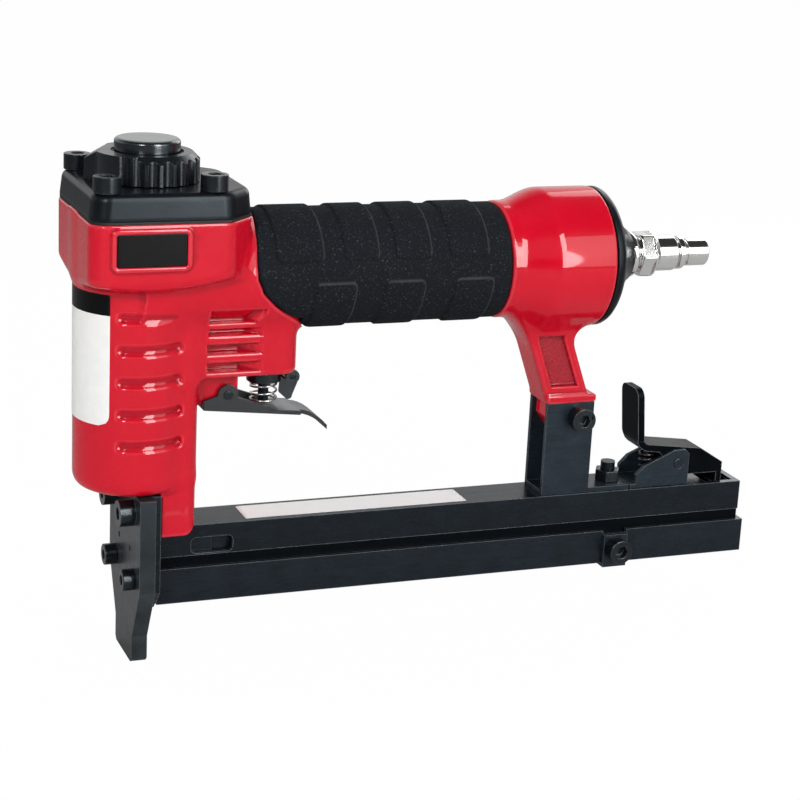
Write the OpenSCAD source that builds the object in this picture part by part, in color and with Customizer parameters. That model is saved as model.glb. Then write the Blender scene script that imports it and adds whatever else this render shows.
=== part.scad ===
// Pneumatic upholstery stapler for fine wire, wide crown staples.
// X runs to the rear, Z is up, the driver axis is X = 0 and Y = 0, and the nose meets the work at Z = 0.

/* [Barrel and head] */
// Radius of the cast barrel round the cylinder
barrel_r = 18.5; // [18:0.1:20]
// Height of the barrel's lower end
barrel_bottom_z = 58; // [54:0.5:62]
// Round of the barrel's lower edge
barrel_round = 3; // [1:0.5:5]
// Height where the head starts to flare out of the barrel
head_bottom_z = 125; // [118:0.5:127]
// Height of the flare below the head
head_flare_h = 6; // [3:0.5:9]
// Height of the head's top face
head_top_z = 146.6; // [144:0.2:152]
// Reach of the head in front of the axis
head_front = 19; // [18.6:0.2:21]
// Reach of the head behind the axis
head_rear = 33.2; // [31:0.1:36]
// Half width of the head
head_half_w = 25.5; // [24.5:0.5:30]
// Radius of the head's front corners
head_corner_r = 6; // [4:0.5:9]
// Chamfer of the head's rear corners
head_chamfer = 9; // [4:0.5:12]
// Wall of the barrel round the cylinder bore
barrel_wall = 2.7; // [2.2:0.1:3.2]
// Step from the cylinder bore to the wider head valve bore
head_bore_step = 1.2; // [1:0.1:1.6]
// Height of the ledge that carries the liner's flange
head_bore_z = 128; // [120:0.5:132]
// Thickness of the barrel's floor
floor_h = 8; // [5:0.5:10]
// Number of shallow grooves on each side of the barrel
groove_count = 5; // [0:1:6]

/* [Cylinder cap] */
// Thickness of the cap gasket
gasket_h = 0.8; // [0.4:0.1:1.5]
// Height of the cap plate
cap_h = 8.2; // [6:0.2:12]
// Step of the cap inside the head's outline
cap_inset = 0.3; // [0:0.1:2]
// Distance of the front cap screws from the axis
cap_screw_front = 13.2; // [12:0.2:14]
// Distance of the rear cap screws from the axis
cap_screw_rear = 19.7; // [18:0.2:21]
// Distance of the cap screws from the head's sides
cap_screw_inset = 5.5; // [5:0.1:6]
// Depth of the recess under the cap
cap_recess_h = 3.6; // [2:0.2:5]
// Radius of the exhaust tube that guides the head valve
exhaust_tube_r = 6; // [5.6:0.1:6.5]
// Radius of the exhaust bore
exhaust_bore_r = 4.4; // [3.5:0.1:5]

/* [Exhaust deflector] */
// Distance of the deflector behind the driver axis
exhaust_x = 4; // [2:0.5:5]
// Radius of the spigot that the deflector turns on
spigot_r = 7; // [6:0.1:8]
// Radius of the deflector's fluted ring
deflector_r = 16.2; // [14.5:0.1:16.4]
// Height of the deflector
deflector_h = 8.8; // [7.6:0.2:10]
// Number of flutes round the ring
flute_count = 14; // [8:1:18]
// Radius of one flute
flute_r = 2; // [1.2:0.1:2.2]
// Reach of the spout from the axis
spout_len = 18.6; // [17.6:0.2:19.6]
// Half width of the spout's mouth
spout_half_w = 5; // [4:0.5:7]
// Direction of the spout about the axis
spout_turn = 155; // [0:5:355]
// Radius of the retainer disc
retainer_r = 10.2; // [8.5:0.1:12]
// Height of the retainer disc
retainer_h = 4.6; // [3:0.2:6]

/* [Cylinder and driver] */
// Air gap between the cylinder liner and the barrel
liner_gap = 1.6; // [1.4:0.1:2]
// Wall of the cylinder liner
liner_wall = 1.2; // [1:0.1:1.6]
// Height of the liner's top above the ledge
liner_flange_h = 4; // [3:0.2:5]
// Height of the bumper
bumper_h = 8; // [5:0.5:10]
// Radius of the hole in the bumper
bumper_hole_r = 7.2; // [7:0.1:8]
// Height of the piston
piston_h = 13; // [10:0.5:14]
// Travel of the piston and driver blade
driver_stroke = 44; // [35:0.5:44]
// Width of the driver blade
blade_w = 12.4; // [11:0.1:12.6]
// Thickness of the driver blade
blade_t = 1.2; // [0.9:0.1:1.3]
// Height of the blade's tip at rest
blade_tip_z = 44.6; // [44.2:0.1:48]
// Height of the head valve
head_valve_h = 7.6; // [6:0.2:8]

/* [Nose] */
// Thickness of the front plate
plate_t = 5.2; // [4:0.2:7]
// Half width of the front plate at its screws
plate_half_w = 19.8; // [18.5:0.1:21]
// Height where the front plate starts to narrow
plate_shoulder_z = 27; // [24:0.5:27]
// Half width of the front plate's tip
plate_tip_half_w = 10.7; // [9.6:0.1:12]
// Height of the tip's straight part
plate_tip_h = 9; // [6:0.5:14]
// Corner chamfer of the tip
plate_tip_chamfer = 1.4; // [0.5:0.1:2]
// Thickness of the driver guide
guide_t = 2.7; // [2.4:0.05:3.4]
// Half width of the driver guide
guide_half_w = 15.5; // [15:0.1:16.4]
// Height of the upper nose screws
upper_screw_z = 51.4; // [50:0.1:53]
// Half spacing of the upper nose screws
upper_screw_y = 10.8; // [9.5:0.1:11]
// Height of the lower nose screws
lower_screw_z = 29.4; // [28.6:0.1:34]
// Half spacing of the lower nose screws
lower_screw_y = 12; // [10.5:0.5:12.5]

/* [Handle] */
// Height of the handle's axis
handle_z = 126.7; // [125:0.1:128]
// Radius of the handle tube under the grip
tube_r = 17; // [16:0.1:18]
// Radius of the air chamber in the handle
chamber_r = 13.6; // [12:0.1:14]
// Outer radius of the grip sleeve
grip_r = 19.8; // [19:0.1:21]
// Rear end of the grip sleeve
grip_rear_x = 120.8; // [104:0.2:122]
// Front end of the grip sleeve along its upper side
grip_front_x = 35; // [33.5:0.5:38]
// Rear end of the bell
bell_rear_x = 156.4; // [154:0.2:160]
// Radius of the bell's rear rim
bell_r = 23.5; // [22.5:0.1:25]
// Length of the bell's flare
bell_flare = 16; // [12:0.5:20]
// Reach of the end cap's dome behind the bell
dome_len = 13.6; // [12:0.2:17]
// Radius of the flat at the dome's centre
dome_flat_r = 8.6; // [8.2:0.1:10]

/* [Air plug] */
// Radius of the plug's thread
plug_thread_r = 6.2; // [5.5:0.1:6.5]
// Length of the thread in the end cap
plug_thread_l = 10; // [8:0.5:12]
// Width across the flats of the plug's hexagon
plug_hex_af = 14; // [13:0.5:16]
// Length of the hexagon
plug_hex_l = 8.4; // [6:0.2:10]
// Radius of the plug's barrel
plug_barrel_r = 6.05; // [5.5:0.05:6.5]
// Length of the plug's barrel
plug_barrel_l = 9.5; // [8:0.1:12]
// Radius of the plug's tip
plug_tip_r = 4.65; // [4.4:0.05:5]
// Length of the plug's neck, bulb and tip
plug_nose_l = 12.8; // [11:0.2:15]
// Radius of the plug's bore
plug_bore_r = 3; // [2:0.1:3.6]

/* [Valve and trigger] */
// Rear of the trigger valve housing
valve_rear_x = 51.4; // [50.4:0.2:54]
// Half width of the trigger valve housing
valve_half_w = 12.5; // [11:0.5:15]
// Height of the valve housing's lower face
valve_bottom_z = 94; // [93.5:0.1:96]
// Distance of the valve axis from the driver axis
valve_x = 43.5; // [42:0.5:45]
// Outer radius of the valve bush
bush_r = 5; // [4.5:0.1:5.5]
// Length of the valve bush below the housing
bush_drop = 4.6; // [3.6:0.2:5]
// Length of the valve bush inside the housing
bush_in = 14; // [10:0.5:16]
// Radius of the valve stem
stem_r = 1.7; // [1.2:0.1:1.9]
// Distance of the trigger pin from the driver axis
trigger_x = 29.6; // [28.6:0.2:31]
// Height of the trigger pin
trigger_z = 87; // [86:0.2:88]
// Radius of the trigger pin
trigger_pin_r = 1.5; // [1.2:0.1:1.8]
// Half width of the trigger
trigger_half_w = 7.4; // [7:0.1:9]
// Thickness of the trigger's sheet
trigger_t = 1.5; // [1.2:0.1:1.7]
// Number of curls in the trigger spring
trigger_spring_curls = 4; // [3:1:5]
// Radius of the trigger spring's wire
trigger_spring_wire_r = 0.4; // [0.3:0.05:0.45]

/* [Rear leg and bracket] */
// Half width of the leg
leg_half_w = 7.2; // [6.5:0.1:9]
// Front of the leg where it leaves the bell
leg_top_front_x = 131; // [126:0.5:134]
// Rear of the leg where it leaves the bell
leg_top_rear_x = 147; // [144:0.5:152]
// Front of the U bracket
bracket_front_x = 142.4; // [140:0.2:146]
// Rear of the U bracket's cheeks
bracket_rear_x = 160.2; // [158:0.2:162]
// Half width of the U bracket
bracket_half_w = 7; // [6.5:0.1:8]
// Thickness of the bracket's sheet
bracket_t = 1.6; // [1.2:0.1:2]
// Height of the bracket's top edge
bracket_top_z = 77.2; // [72:0.2:82]
// Rear end of the bracket's base
bracket_base_rear_x = 176; // [174:0.2:177]

/* [Magazine] */
// Rear end of the fixed magazine
mag_rear_x = 220; // [214:0.5:226]
// Half width of the fixed magazine
mag_half_w = 8.1; // [7.9:0.1:8.6]
// Height of the fixed magazine's top
mag_top_z = 44.5; // [44:0.1:45]
// Height of the fixed magazine's thick side wall
mag_side_h = 10.4; // [8:0.2:12]
// Wall of the fixed magazine
mag_wall = 1.5; // [1.2:0.1:1.5]
// Wall of the fixed magazine's skirts
skirt_wall = 0.8; // [0.6:0.1:1]
// Half width of the slide channel
slide_half_w = 9.2; // [9:0.1:10]
// Height of the slide channel's underside
slide_bottom_z = 18.6; // [16:0.2:19.4]
// Height of the slide channel
slide_h = 11.8; // [9:0.2:13]
// Wall of the slide channel
slide_wall = 1.5; // [1.2:0.1:1.5]
// Half width of the staple rail
rail_half_w = 5.1; // [4.5:0.1:5.4]
// Length of the pusher
pusher_l = 16; // [10:1:20]

/* [Latch] */
// Distance of the latch pin from the driver axis
latch_x = 194.8; // [192:0.2:196]
// Height of the latch pin above the magazine
latch_rise = 8; // [7.6:0.1:9.5]
// Radius of the latch pin
latch_pin_r = 1.9; // [1.5:0.1:2.2]
// Half width of the latch bracket
latch_half_w = 7.3; // [7:0.1:8]
// Thickness of the latch bracket's sheet
latch_t = 1.6; // [1.2:0.1:1.7]
// Thickness of the latch lever's sheet
lever_t = 2.5; // [1.8:0.1:2.6]
// Height of the thumb tab above the latch pin
latch_tab_h = 27.5; // [22:0.5:32]

/* [Hidden] */

$fn = 64;
// Overrun of every cut
over = 1;
// Gap between pieces that move past each other
gap = 0.3;
// Radial running clearance of pins and shafts
run = 0.05;
// Radial clearance of pieces that only slip together
slip = 0.1;

// Screw sizes: socket head cap screws of 5 and 4 mm
m5_r = 2.5;
m5_head_r = 4.25;
m5_head_h = 5;
m5_socket_af = 4;
m4_r = 2;
m4_head_r = 3.5;
m4_head_h = 4;
m4_socket_af = 3;
// Share of a screw head's height that its socket takes
socket_share = 0.55;
m5_nut_af = 8;
m5_nut_h = 4;
cap_screw_l = 20;
upper_screw_l = 16;
lower_screw_l = 7.4;
bracket_screw_l = 19;

// Heights of the stack on the head
cap_screw_y = head_half_w - cap_screw_inset;
cap_z = head_top_z + gasket_h;
cap_top_z = cap_z + cap_h;
deflector_z = cap_top_z + gap;
deflector_top_z = deflector_z + deflector_h;
retainer_seat = 1;
retainer_clear = 1;
spigot_top_z = deflector_top_z - retainer_seat + gap;
retainer_round = 0.8;
retainer_stud_r = 3;
retainer_stud_l = 5;
port_r = 2;
deflector_wall = 2.2;
deflector_roof = 2.4;
deflector_chamfer = 2.2;
flute_start_turn = 60;
flute_span = 240;
spout_root_share = 0.9;
spout_drop = 1.4;

// Cylinder, piston and head valve
cyl_bore_r = barrel_r - barrel_wall;
head_bore_r = cyl_bore_r + head_bore_step;
liner_bore_r = cyl_bore_r - liner_gap - liner_wall;
floor_z = barrel_bottom_z + floor_h;
liner_top_z = head_bore_z + liner_flange_h;
liner_collar_h = 6;
liner_port_r = 1;
liner_port_count = 8;
liner_port_rise = 12;
ring_wire_r = 0.8;
ring_groove_h = 1.9;
bumper_top_z = floor_z + bumper_h;
piston_z = bumper_top_z + gap + driver_stroke;
piston_r = liner_bore_r - slip;
blade_seat = 6;
blade_pin_r = 1.5;
blade_top_z = piston_z + blade_seat;
blade_slot_clear = 0.3;
head_valve_z = liner_top_z + gap;
head_valve_r = head_bore_r - slip;
head_valve_web = 3.4;
head_valve_wall = 2.2;
head_valve_hub_wall = 2;
head_valve_hub_r = exhaust_tube_r + run + head_valve_hub_wall;
head_spring_r = 10.6;
head_spring_wire_r = 0.6;
head_spring_curls = 3;

// Nose
blade_gap = 0.15;
plate_wall = 1;
groove_front_x = -blade_t / 2 - blade_gap;
plate_front_x = groove_front_x - plate_wall;
split_x = plate_front_x + plate_t;
guide_rear_x = split_x + guide_t;
plate_top_z = barrel_bottom_z - gap;
guide_top_z = barrel_bottom_z - gap;
channel_depth = blade_t + 2 * blade_gap;
channel_w = blade_w + 2 * blade_slot_clear;
guide_tip_half_w = 7.9;
guide_shoulder_z = 25;
guide_tip_z = 17.5;
feed_bottom_z = 27;
feed_clear = 0.6;
feed_half_w = blade_w / 2 + feed_clear;
plate_pin_r = 1.1;
plate_pin_z = 38;
plate_pin_y = 7;
lug_rear_x = barrel_r;
lug_half_w = 14.4;
lug_drop = 3;
lug_bottom_z = mag_top_z - lug_drop;
lug_round = 4.5;
lug_hole_r = 1.6;
lug_hole_l = 3;

// Valve housing, trigger and lock
valve_corner_r = 5;
valve_slot_count = 3;
valve_slot_h = 3;
valve_slot_pitch = 6;
valve_slot_l = 12.4;
valve_slot_x = 21.4;
valve_slot_d = 3;
valve_slot_rise = 3.6;
valve_slot_z = valve_bottom_z + valve_slot_rise;
bush_bottom_z = valve_bottom_z - bush_drop;
bush_top_z = valve_bottom_z + bush_in;
bush_flange_lip = 0.6;
bush_flange_r = bush_r + bush_flange_lip;
bush_counter_r = 3.2;
bush_counter_l = 8;
stem_drop = 4.9;
stem_bottom_z = trigger_z - stem_drop;
stem_sink = 4;
stem_top_z = bush_top_z - stem_sink;
stem_head_r = 2.6;
stem_head_h = 4;
stem_ring_wire_r = 0.5;
trigger_ear_r = 3.4;
trigger_front_l = 8;
trigger_front_x = trigger_x - trigger_front_l;
trigger_front_drop = 4.6;
trigger_front_z = trigger_z - trigger_front_drop;
trigger_knee_l = 24.5;
trigger_knee_x = trigger_x + trigger_knee_l;
trigger_knee_drop = 8;
trigger_knee_z = trigger_z - trigger_knee_drop;
trigger_tail_l = 9.8;
trigger_tail_drop = 6;
trigger_tail_steps = 6;
trigger_wall_l = 17;
trigger_wall_rear_x = trigger_x + trigger_wall_l;
trigger_tail_half_w = 5.6;
trigger_slope = (trigger_knee_z - trigger_front_z) / (trigger_knee_x - trigger_front_x);
trigger_lug_half_w = trigger_half_w - trigger_t - gap;
trigger_lug_l = 3.6;
trigger_lug_rear_x = trigger_x + trigger_lug_l;
trigger_lug_drop = 2.6;
trigger_lug_bottom_z = trigger_z - trigger_lug_drop;
trigger_spring_rise = 0.5;
trigger_spring_bottom_z = stem_bottom_z + trigger_spring_rise;
trigger_spring_r = 4.2;
lock_reach = 1;
lock_x = valve_rear_x + lock_reach;
lock_drop = 3.2;
lock_z = valve_bottom_z - lock_drop;
lock_pin_r = 1;
lock_half_w = 3.4;
lock_lug_half_w = 1.7;
lock_lug_r = 2.2;
lock_eye_r = 2.3;
lock_len = 7.4;
lock_lean = 1.4;
lock_tip_r = 1.3;

// Handle, bell and leg
neck_front_x = 8;
grip_bend_drop = 3;
grip_bend_z = handle_z - grip_bend_drop;
grip_bend_l = 2;
grip_toe_l = 21;
grip_toe_x = grip_front_x + grip_toe_l;
bell_step = 0.4;
bell_step_r = grip_r - bell_step;
bell_socket_r = 20;
bell_socket_l = 8;
bell_flare_steps = 8;
dome_edge = 2.2;
// Dome as shares of its radius and of its length
dome_shares = [[1, 0], [0.91, 0.21], [0.81, 0.34], [0.69, 0.46], [0.54, 0.57], [0.39, 0.65], [0.26, 0.7],
               [0.19, 0.75], [0.15, 0.83], [0.07, 0.96], [0, 1]];
dome_x = bell_rear_x + gap;
dome_rear_x = dome_x + dome_len;
spigot_clear = 0.3;
end_spigot_r = bell_socket_r - spigot_clear;
end_spigot_bore_r = 15;
leg_top_drop = 18;
leg_top_z = handle_z - leg_top_drop;
leg_foot_half_w = bracket_half_w - bracket_t - gap;
leg_collar_h = 2.6;
leg_collar_over = 0.4;
leg_foot_h = 12;
leg_foot_inset = 1.8;
leg_panel_d = 1;
leg_panel_rim = 3;
leg_rear_in = 1.6;
leg_rear_x = bracket_rear_x - leg_rear_in;
leg_front_over = 0.2;
leg_front_x = bracket_front_x - leg_front_over;
leg_foot_top_z = bracket_top_z + gap / 2;
bracket_screw_in = 5.8;
bracket_screw_x = bracket_rear_x - bracket_screw_in;
bracket_screw_drop = 5.4;
bracket_screw_z = bracket_top_z - bracket_screw_drop;

// Plug
plug_hex_x = dome_rear_x + gap / 2;
plug_barrel_x = plug_hex_x + plug_hex_l;
plug_nose_x = plug_barrel_x + plug_barrel_l;
plug_rear_x = plug_nose_x + plug_nose_l;
plug_cone_l = 1.8;
plug_neck_share = 0.1;
plug_bulb_share = 0.36;
plug_neck_sink = 0.3;
plug_neck_r = plug_tip_r - plug_neck_sink;
plug_bulb_rise = 1.1;
plug_bulb_r = plug_tip_r + plug_bulb_rise;

// Badge frame on the head
badge_w = 21.8;
badge_h = 10.2;
badge_rim = 1.2;
badge_rise = 0.7;
badge_x = -0.6;
badge_z = (head_bottom_z + head_flare_h + head_top_z) / 2;

// Grooves on the barrel
groove_r = 1.6;
groove_sink = 0.7;
groove_l = 21;
groove_x = 2;
groove_y = 8;
groove_drop = 9;
groove_top_z = head_bottom_z - groove_drop;
groove_pitch = 10.2;

// Magazine
mag_front_x = guide_rear_x + gap;
mag_inner_half_w = mag_half_w - mag_wall;
mag_skirt_top_z = mag_top_z - mag_side_h;
slide_floor_z = slide_bottom_z + slide_wall;
skirt_clear = 0.5;
mag_skirt_bottom_z = slide_floor_z + skirt_clear;
mag_roof = 1.2;
mag_ceiling_z = mag_top_z - mag_roof;
mag_view_x = 18.2;
mag_view_l = 14;
mag_view_h = 5.4;
mag_view_rise = 0.6;
mag_view_z = mag_skirt_top_z + mag_view_rise;
mag_window_half_w = 5.9;
mag_window_in = 12;
mag_window_l = 11;
mag_window_front_x = latch_x + mag_window_in;
mag_window_rear_x = mag_window_front_x + mag_window_l;
stud_in = 5.2;
stud_x = bracket_base_rear_x - stud_in;
stud_h = 8.5;
slide_front_x = mag_front_x + gap;
slide_end_t = 1.4;
slide_rear_x = mag_rear_x + gap + slide_end_t;
rail_drop = 1.7;
rail_top_z = mag_ceiling_z - rail_drop;
rail_wall = 1.2;
rail_rear_in = 4;
rail_rear_x = mag_rear_x - rail_rear_in;
rail_slot_half_w = 1.6;
rail_slot_in = 4;
rail_slot_front_x = slide_front_x + rail_slot_in;
rail_block_l = 6;
catch_in = 10;
catch_x = latch_x + catch_in;
catch_l = 5;
catch_half_w = 4.6;
catch_top_z = mag_ceiling_z - gap;
rod_r = 1;
rod_rise = 9;
rod_z = slide_floor_z + rod_rise;
pusher_in = 3;
pusher_x = slide_front_x + pusher_in;
pusher_wall = 0.8;
pusher_skirt_h = 14;
pusher_tongue_half_w = 1.2;
pusher_tongue_l = 8;
pusher_spring_r = 2.8;
pusher_spring_bore_r = 1.3;
clip_x = stud_x;
clip_w = 9;
clip_t = 1.3;
clip_screw_rise = 5.6;
clip_screw_z = slide_bottom_z + clip_screw_rise;

// Latch
latch_z = mag_top_z + latch_rise;
latch_base_front_x = bracket_base_rear_x + gap;
latch_ear_l = 4.2;
latch_ear_rear_x = latch_x + latch_ear_l;
latch_ear_rise = 4.9;
latch_ear_top_z = latch_z + latch_ear_rise;
latch_cheek_l = 16.4;
latch_cheek_x = latch_x - latch_cheek_l;
latch_slope_l = 13.2;
latch_inner_half_w = latch_half_w - latch_t;
lever_half_w = latch_inner_half_w - gap / 2;
lever_tab_half_w = 6.2;
lever_tab_round = 3.2;
lever_tab_lean = 1.5;
lever_flange_t = 1.4;
lever_tab_l = 16.2;
lever_tab_x = latch_x - lever_tab_l;
lever_plate_rise = 7;
lever_plate_z = latch_z + lever_plate_rise;
lever_bend_r = 3;
lever_bend_x = lever_tab_x + lever_t + lever_bend_r;
lever_bend_z = lever_plate_z + lever_bend_r;
lever_bend_steps = 5;
lever_knee_l = 9.6;
lever_knee_x = latch_x + lever_knee_l;
lever_knee_rise = 4.4;
lever_knee_z = latch_z + lever_knee_rise;
lever_nose_l = 18.6;
lever_nose_x = latch_x + lever_nose_l;
lever_nose_drop = 1.2;
lever_nose_z = latch_z - lever_nose_drop;
lever_slope = (lever_knee_z - lever_plate_z) / (lever_knee_x - lever_bend_x);
lever_hook_z = catch_top_z + gap;
lever_hook_t = 2.2;
lever_skirt_drop = 4.8;
latch_spring_l = 9;
latch_spring_x = latch_x - latch_spring_l;
latch_spring_r = 2.4;
latch_spring_wire_r = 0.4;
latch_spring_curls = 5;

// Shapes that repeat

module along_x(x) { translate([x, 0, 0]) rotate([0, 90, 0]) children(); }
module along_y(y) { translate([0, y, 0]) rotate([-90, 0, 0]) children(); }
// An XZ outline, swept evenly to both sides of Y = 0
module slab(w) { rotate([90, 0, 0]) linear_extrude(w, center = true) children(); }
// An XZ outline, swept from one Y to another
module plate_y(y0, y1) { translate([0, y1, 0]) rotate([90, 0, 0]) linear_extrude(y1 - y0) children(); }
module both_sides() { children(); mirror([0, 1, 0]) children(); }
module box(x0, x1, y0, y1, z0, z1) { translate([x0, y0, z0]) cube([x1 - x0, y1 - y0, z1 - z0]); }
module ring(r_out, r_in, h) {
  difference() {
    cylinder(r = r_out, h = h);
    translate([0, 0, -over]) cylinder(r = r_in, h = h + 2 * over);
  }
}
module o_ring(r, wire_r) { rotate_extrude() translate([r, 0]) circle(wire_r, $fn = 24); }
module hexagon(af, h) { cylinder(r = af / 2 / cos(30), h = h, $fn = 6); }
module rounded_rect(w, h, r) {
  square([w - 2 * r, h], center = true);
  square([w, h - 2 * r], center = true);
  for (sx = [-1, 1], sy = [-1, 1]) translate([sx * (w / 2 - r), sy * (h / 2 - r)]) circle(r);
}
// Socket head screw: the head sits on Z = 0 and the shank points down
module socket_screw(r, head_r, head_h, socket_af, l) {
  difference() {
    union() {
      cylinder(r = head_r, h = head_h);
      translate([0, 0, -l]) cylinder(r = r, h = l + over);
    }
    translate([0, 0, head_h * (1 - socket_share)]) hexagon(socket_af, head_h);
  }
}
module m5_screw(l) { socket_screw(m5_r, m5_head_r, m5_head_h, m5_socket_af, l); }
module m4_screw(l) { socket_screw(m4_r, m4_head_r, m4_head_h, m4_socket_af, l); }
module nut(af, h, r) {
  difference() {
    hexagon(af, h);
    translate([0, 0, -over]) cylinder(r = r, h = h + 2 * over);
  }
}

// Wound springs: one tube along a helix whose ends run straight for one tube diameter

coil_rings = 8;
coil_sides = 6;
// Centre line points of a coil that rises by h over its curls
function coil_points(r, wire_r, h, curls) =
  let (n = curls * coil_rings)
  concat([[r, -2 * wire_r, 0]],
         [for (i = [0:n]) [r * cos(360 * i / coil_rings), r * sin(360 * i / coil_rings), h * i / n]],
         [[r, 2 * wire_r, h]]);
// Least gap between turns, measured on the points that lie a turn or more apart
function coil_gap(pts, wire_r) =
  min([for (i = [1:len(pts) - 2 - coil_rings])
       for (j = [i + coil_rings - 1:min(i + coil_rings + 1, len(pts) - 2)]) norm(pts[i] - pts[j])]) - 2 * wire_r;
function unit(v) = v / norm(v);
function coil_dir(pts, i) =
  unit(pts[min(i + 1, len(pts) - 1)] - pts[max(i - 1, 0)]);
module coil(r, wire_r, h, curls) {
  pts = coil_points(r, wire_r, h, curls);
  echo(least_gap = coil_gap(pts, wire_r));
  n = len(pts);
  verts = [for (i = [0:n - 1])
           let (d = coil_dir(pts, i), side = unit(cross(d, [0, 0, 1])), up = cross(side, d))
           for (k = [0:coil_sides - 1])
           pts[i] + wire_r * (cos(360 * k / coil_sides) * side + sin(360 * k / coil_sides) * up)];
  faces = concat(
    [for (i = [0:n - 2]) for (k = [0:coil_sides - 1])
     let (a = i * coil_sides + k, b = i * coil_sides + (k + 1) % coil_sides)
     each [[a, a + coil_sides, b + coil_sides], [a, b + coil_sides, b]]],
    [for (k = [1:coil_sides - 2]) [0, k, k + 1]],
    [for (k = [1:coil_sides - 2]) let (e = (n - 1) * coil_sides) [e, e + k + 1, e + k]]);
  polyhedron(verts, faces);
}

// Outlines that several pieces share

// Plan of the head, drawn in by a step
module head_plan(step) {
  f = head_front - step;
  b = head_rear - step;
  w = head_half_w - step;
  r = head_corner_r - step;
  translate([-f + r, -w]) square([f - r + b - head_chamfer, 2 * w]);
  translate([-f, -w + r]) square([r, 2 * (w - r)]);
  for (s = [-1, 1]) translate([-f + r, s * (w - r)]) circle(r);
  polygon([[b - head_chamfer, -w], [b, -w + head_chamfer], [b, w - head_chamfer], [b - head_chamfer, w]]);
}
// Side view of the neck in front of the grip, moved to the rear by a step
module neck_side(step) {
  top = handle_z + 2 * grip_r;
  low = handle_z - 2 * grip_r;
  polygon([[neck_front_x, low], [grip_toe_x + step + grip_r, low], [grip_toe_x + step, handle_z - grip_r],
           [grip_front_x + step + grip_bend_l, grip_bend_z], [grip_front_x + step, handle_z], [grip_front_x + step, top],
           [neck_front_x, top]]);
}
module cap_screw_places() {
  for (s = [-1, 1]) {
    translate([-cap_screw_front, s * cap_screw_y, 0]) children();
    translate([cap_screw_rear, s * cap_screw_y, 0]) children();
  }
}
module nose_places(y, z) {
  for (s = [-1, 1]) translate([plate_front_x, s * y, z]) rotate([0, -90, 0]) children();
}
// Bell profile as radius against length
function bell_flare_r(t) = bell_step_r + (bell_r - bell_step_r) * t * t * (3 - 2 * t);
bell_front_x = grip_rear_x + gap;
bell_points = [for (i = [0:bell_flare_steps])
               let (t = i / bell_flare_steps) [bell_flare_r(t), bell_front_x + bell_flare * t]];
// Front and rear edge of the leg at a height
function leg_share(z) = (leg_top_z - z) / (leg_top_z - bracket_top_z);
function leg_front(z) = leg_top_front_x + (leg_front_x - leg_top_front_x) * leg_share(z);
function leg_rear(z) = leg_top_rear_x + (leg_rear_x - leg_top_rear_x) * leg_share(z);

// Cast housing

module barrel_form() {
  rotate_extrude()
    polygon([[0, barrel_bottom_z], [barrel_r - barrel_round, barrel_bottom_z],
             [barrel_r - barrel_round * (1 - sin(45)), barrel_bottom_z + barrel_round * (1 - cos(45))],
             [barrel_r, barrel_bottom_z + barrel_round], [barrel_r, head_top_z - over], [0, head_top_z - over]]);
}
module head_form() {
  translate([0, 0, head_bottom_z + head_flare_h])
    linear_extrude(head_top_z - head_bottom_z - head_flare_h) head_plan(0);
  intersection() {
    translate([0, 0, head_bottom_z]) linear_extrude(head_flare_h) head_plan(0);
    translate([0, 0, head_bottom_z - over])
      cylinder(r1 = barrel_r - over, r2 = head_rear + head_half_w / 2, h = head_flare_h + 2 * over);
  }
}
module badge_frame() {
  plate_y(-head_half_w - badge_rise, -head_half_w + over) difference() {
    translate([badge_x, badge_z]) rounded_rect(badge_w + 2 * badge_rim, badge_h + 2 * badge_rim, badge_rim);
    translate([badge_x, badge_z]) square([badge_w, badge_h], center = true);
  }
}
module valve_form() {
  translate([valve_rear_x / 2, 0, valve_bottom_z]) linear_extrude(handle_z - valve_bottom_z)
    rounded_rect(valve_rear_x, 2 * valve_half_w, valve_corner_r);
  box(0, trigger_lug_rear_x, -trigger_lug_half_w, trigger_lug_half_w, trigger_lug_bottom_z, valve_bottom_z + over);
  slab(2 * lock_lug_half_w) {
    translate([lock_x, lock_z]) circle(lock_lug_r);
    polygon([[lock_x - lock_lug_r, lock_z], [lock_x + lock_lug_r, lock_z], [valve_rear_x, valve_bottom_z + over],
             [lock_x - lock_lug_r, valve_bottom_z + over]]);
  }
}
module bell_form() {
  along_x(0) rotate_extrude()
    polygon(concat([[0, bell_front_x]], bell_points, [[bell_r, bell_rear_x], [0, bell_rear_x]]));
}
module handle_form() {
  translate([0, 0, handle_z]) {
    along_x(neck_front_x) cylinder(r = tube_r, h = bell_rear_x - neck_front_x - over);
    bell_form();
  }
  intersection() {
    translate([0, 0, handle_z]) along_x(neck_front_x) cylinder(r = grip_r, h = grip_toe_x + grip_r);
    slab(4 * grip_r) neck_side(-gap);
  }
}
module leg_form() {
  slab(2 * leg_half_w)
    polygon([[leg_top_front_x, leg_top_z], [leg_top_rear_x, leg_top_z], [leg_rear_x, leg_foot_top_z],
             [leg_front_x, leg_foot_top_z]]);
  slab(2 * (leg_half_w + leg_collar_over))
    translate([leg_front_x, leg_foot_top_z]) square([bracket_rear_x - leg_front_x, leg_collar_h]);
  slab(2 * leg_foot_half_w)
    polygon([[leg_front_x + leg_foot_inset, leg_foot_top_z + over], [leg_rear_x, leg_foot_top_z + over],
             [leg_rear_x, leg_foot_top_z - leg_foot_h],
             [leg_front_x + leg_foot_h / 2, leg_foot_top_z - leg_foot_h],
             [leg_front_x + leg_foot_inset, leg_foot_top_z - leg_foot_h / 2]]);
}
module leg_panel_cut() {
  z0 = leg_foot_top_z + leg_collar_h + leg_panel_rim;
  z1 = handle_z - bell_r - leg_panel_rim / 2;
  both_sides() plate_y(-leg_half_w - over, -leg_half_w + leg_panel_d)
    polygon([[leg_front(z1) + leg_panel_rim, z1], [leg_rear(z1) - leg_panel_rim, z1],
             [leg_rear(z0) - leg_panel_rim, z0], [leg_front(z0) + leg_panel_rim, z0]]);
}
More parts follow.
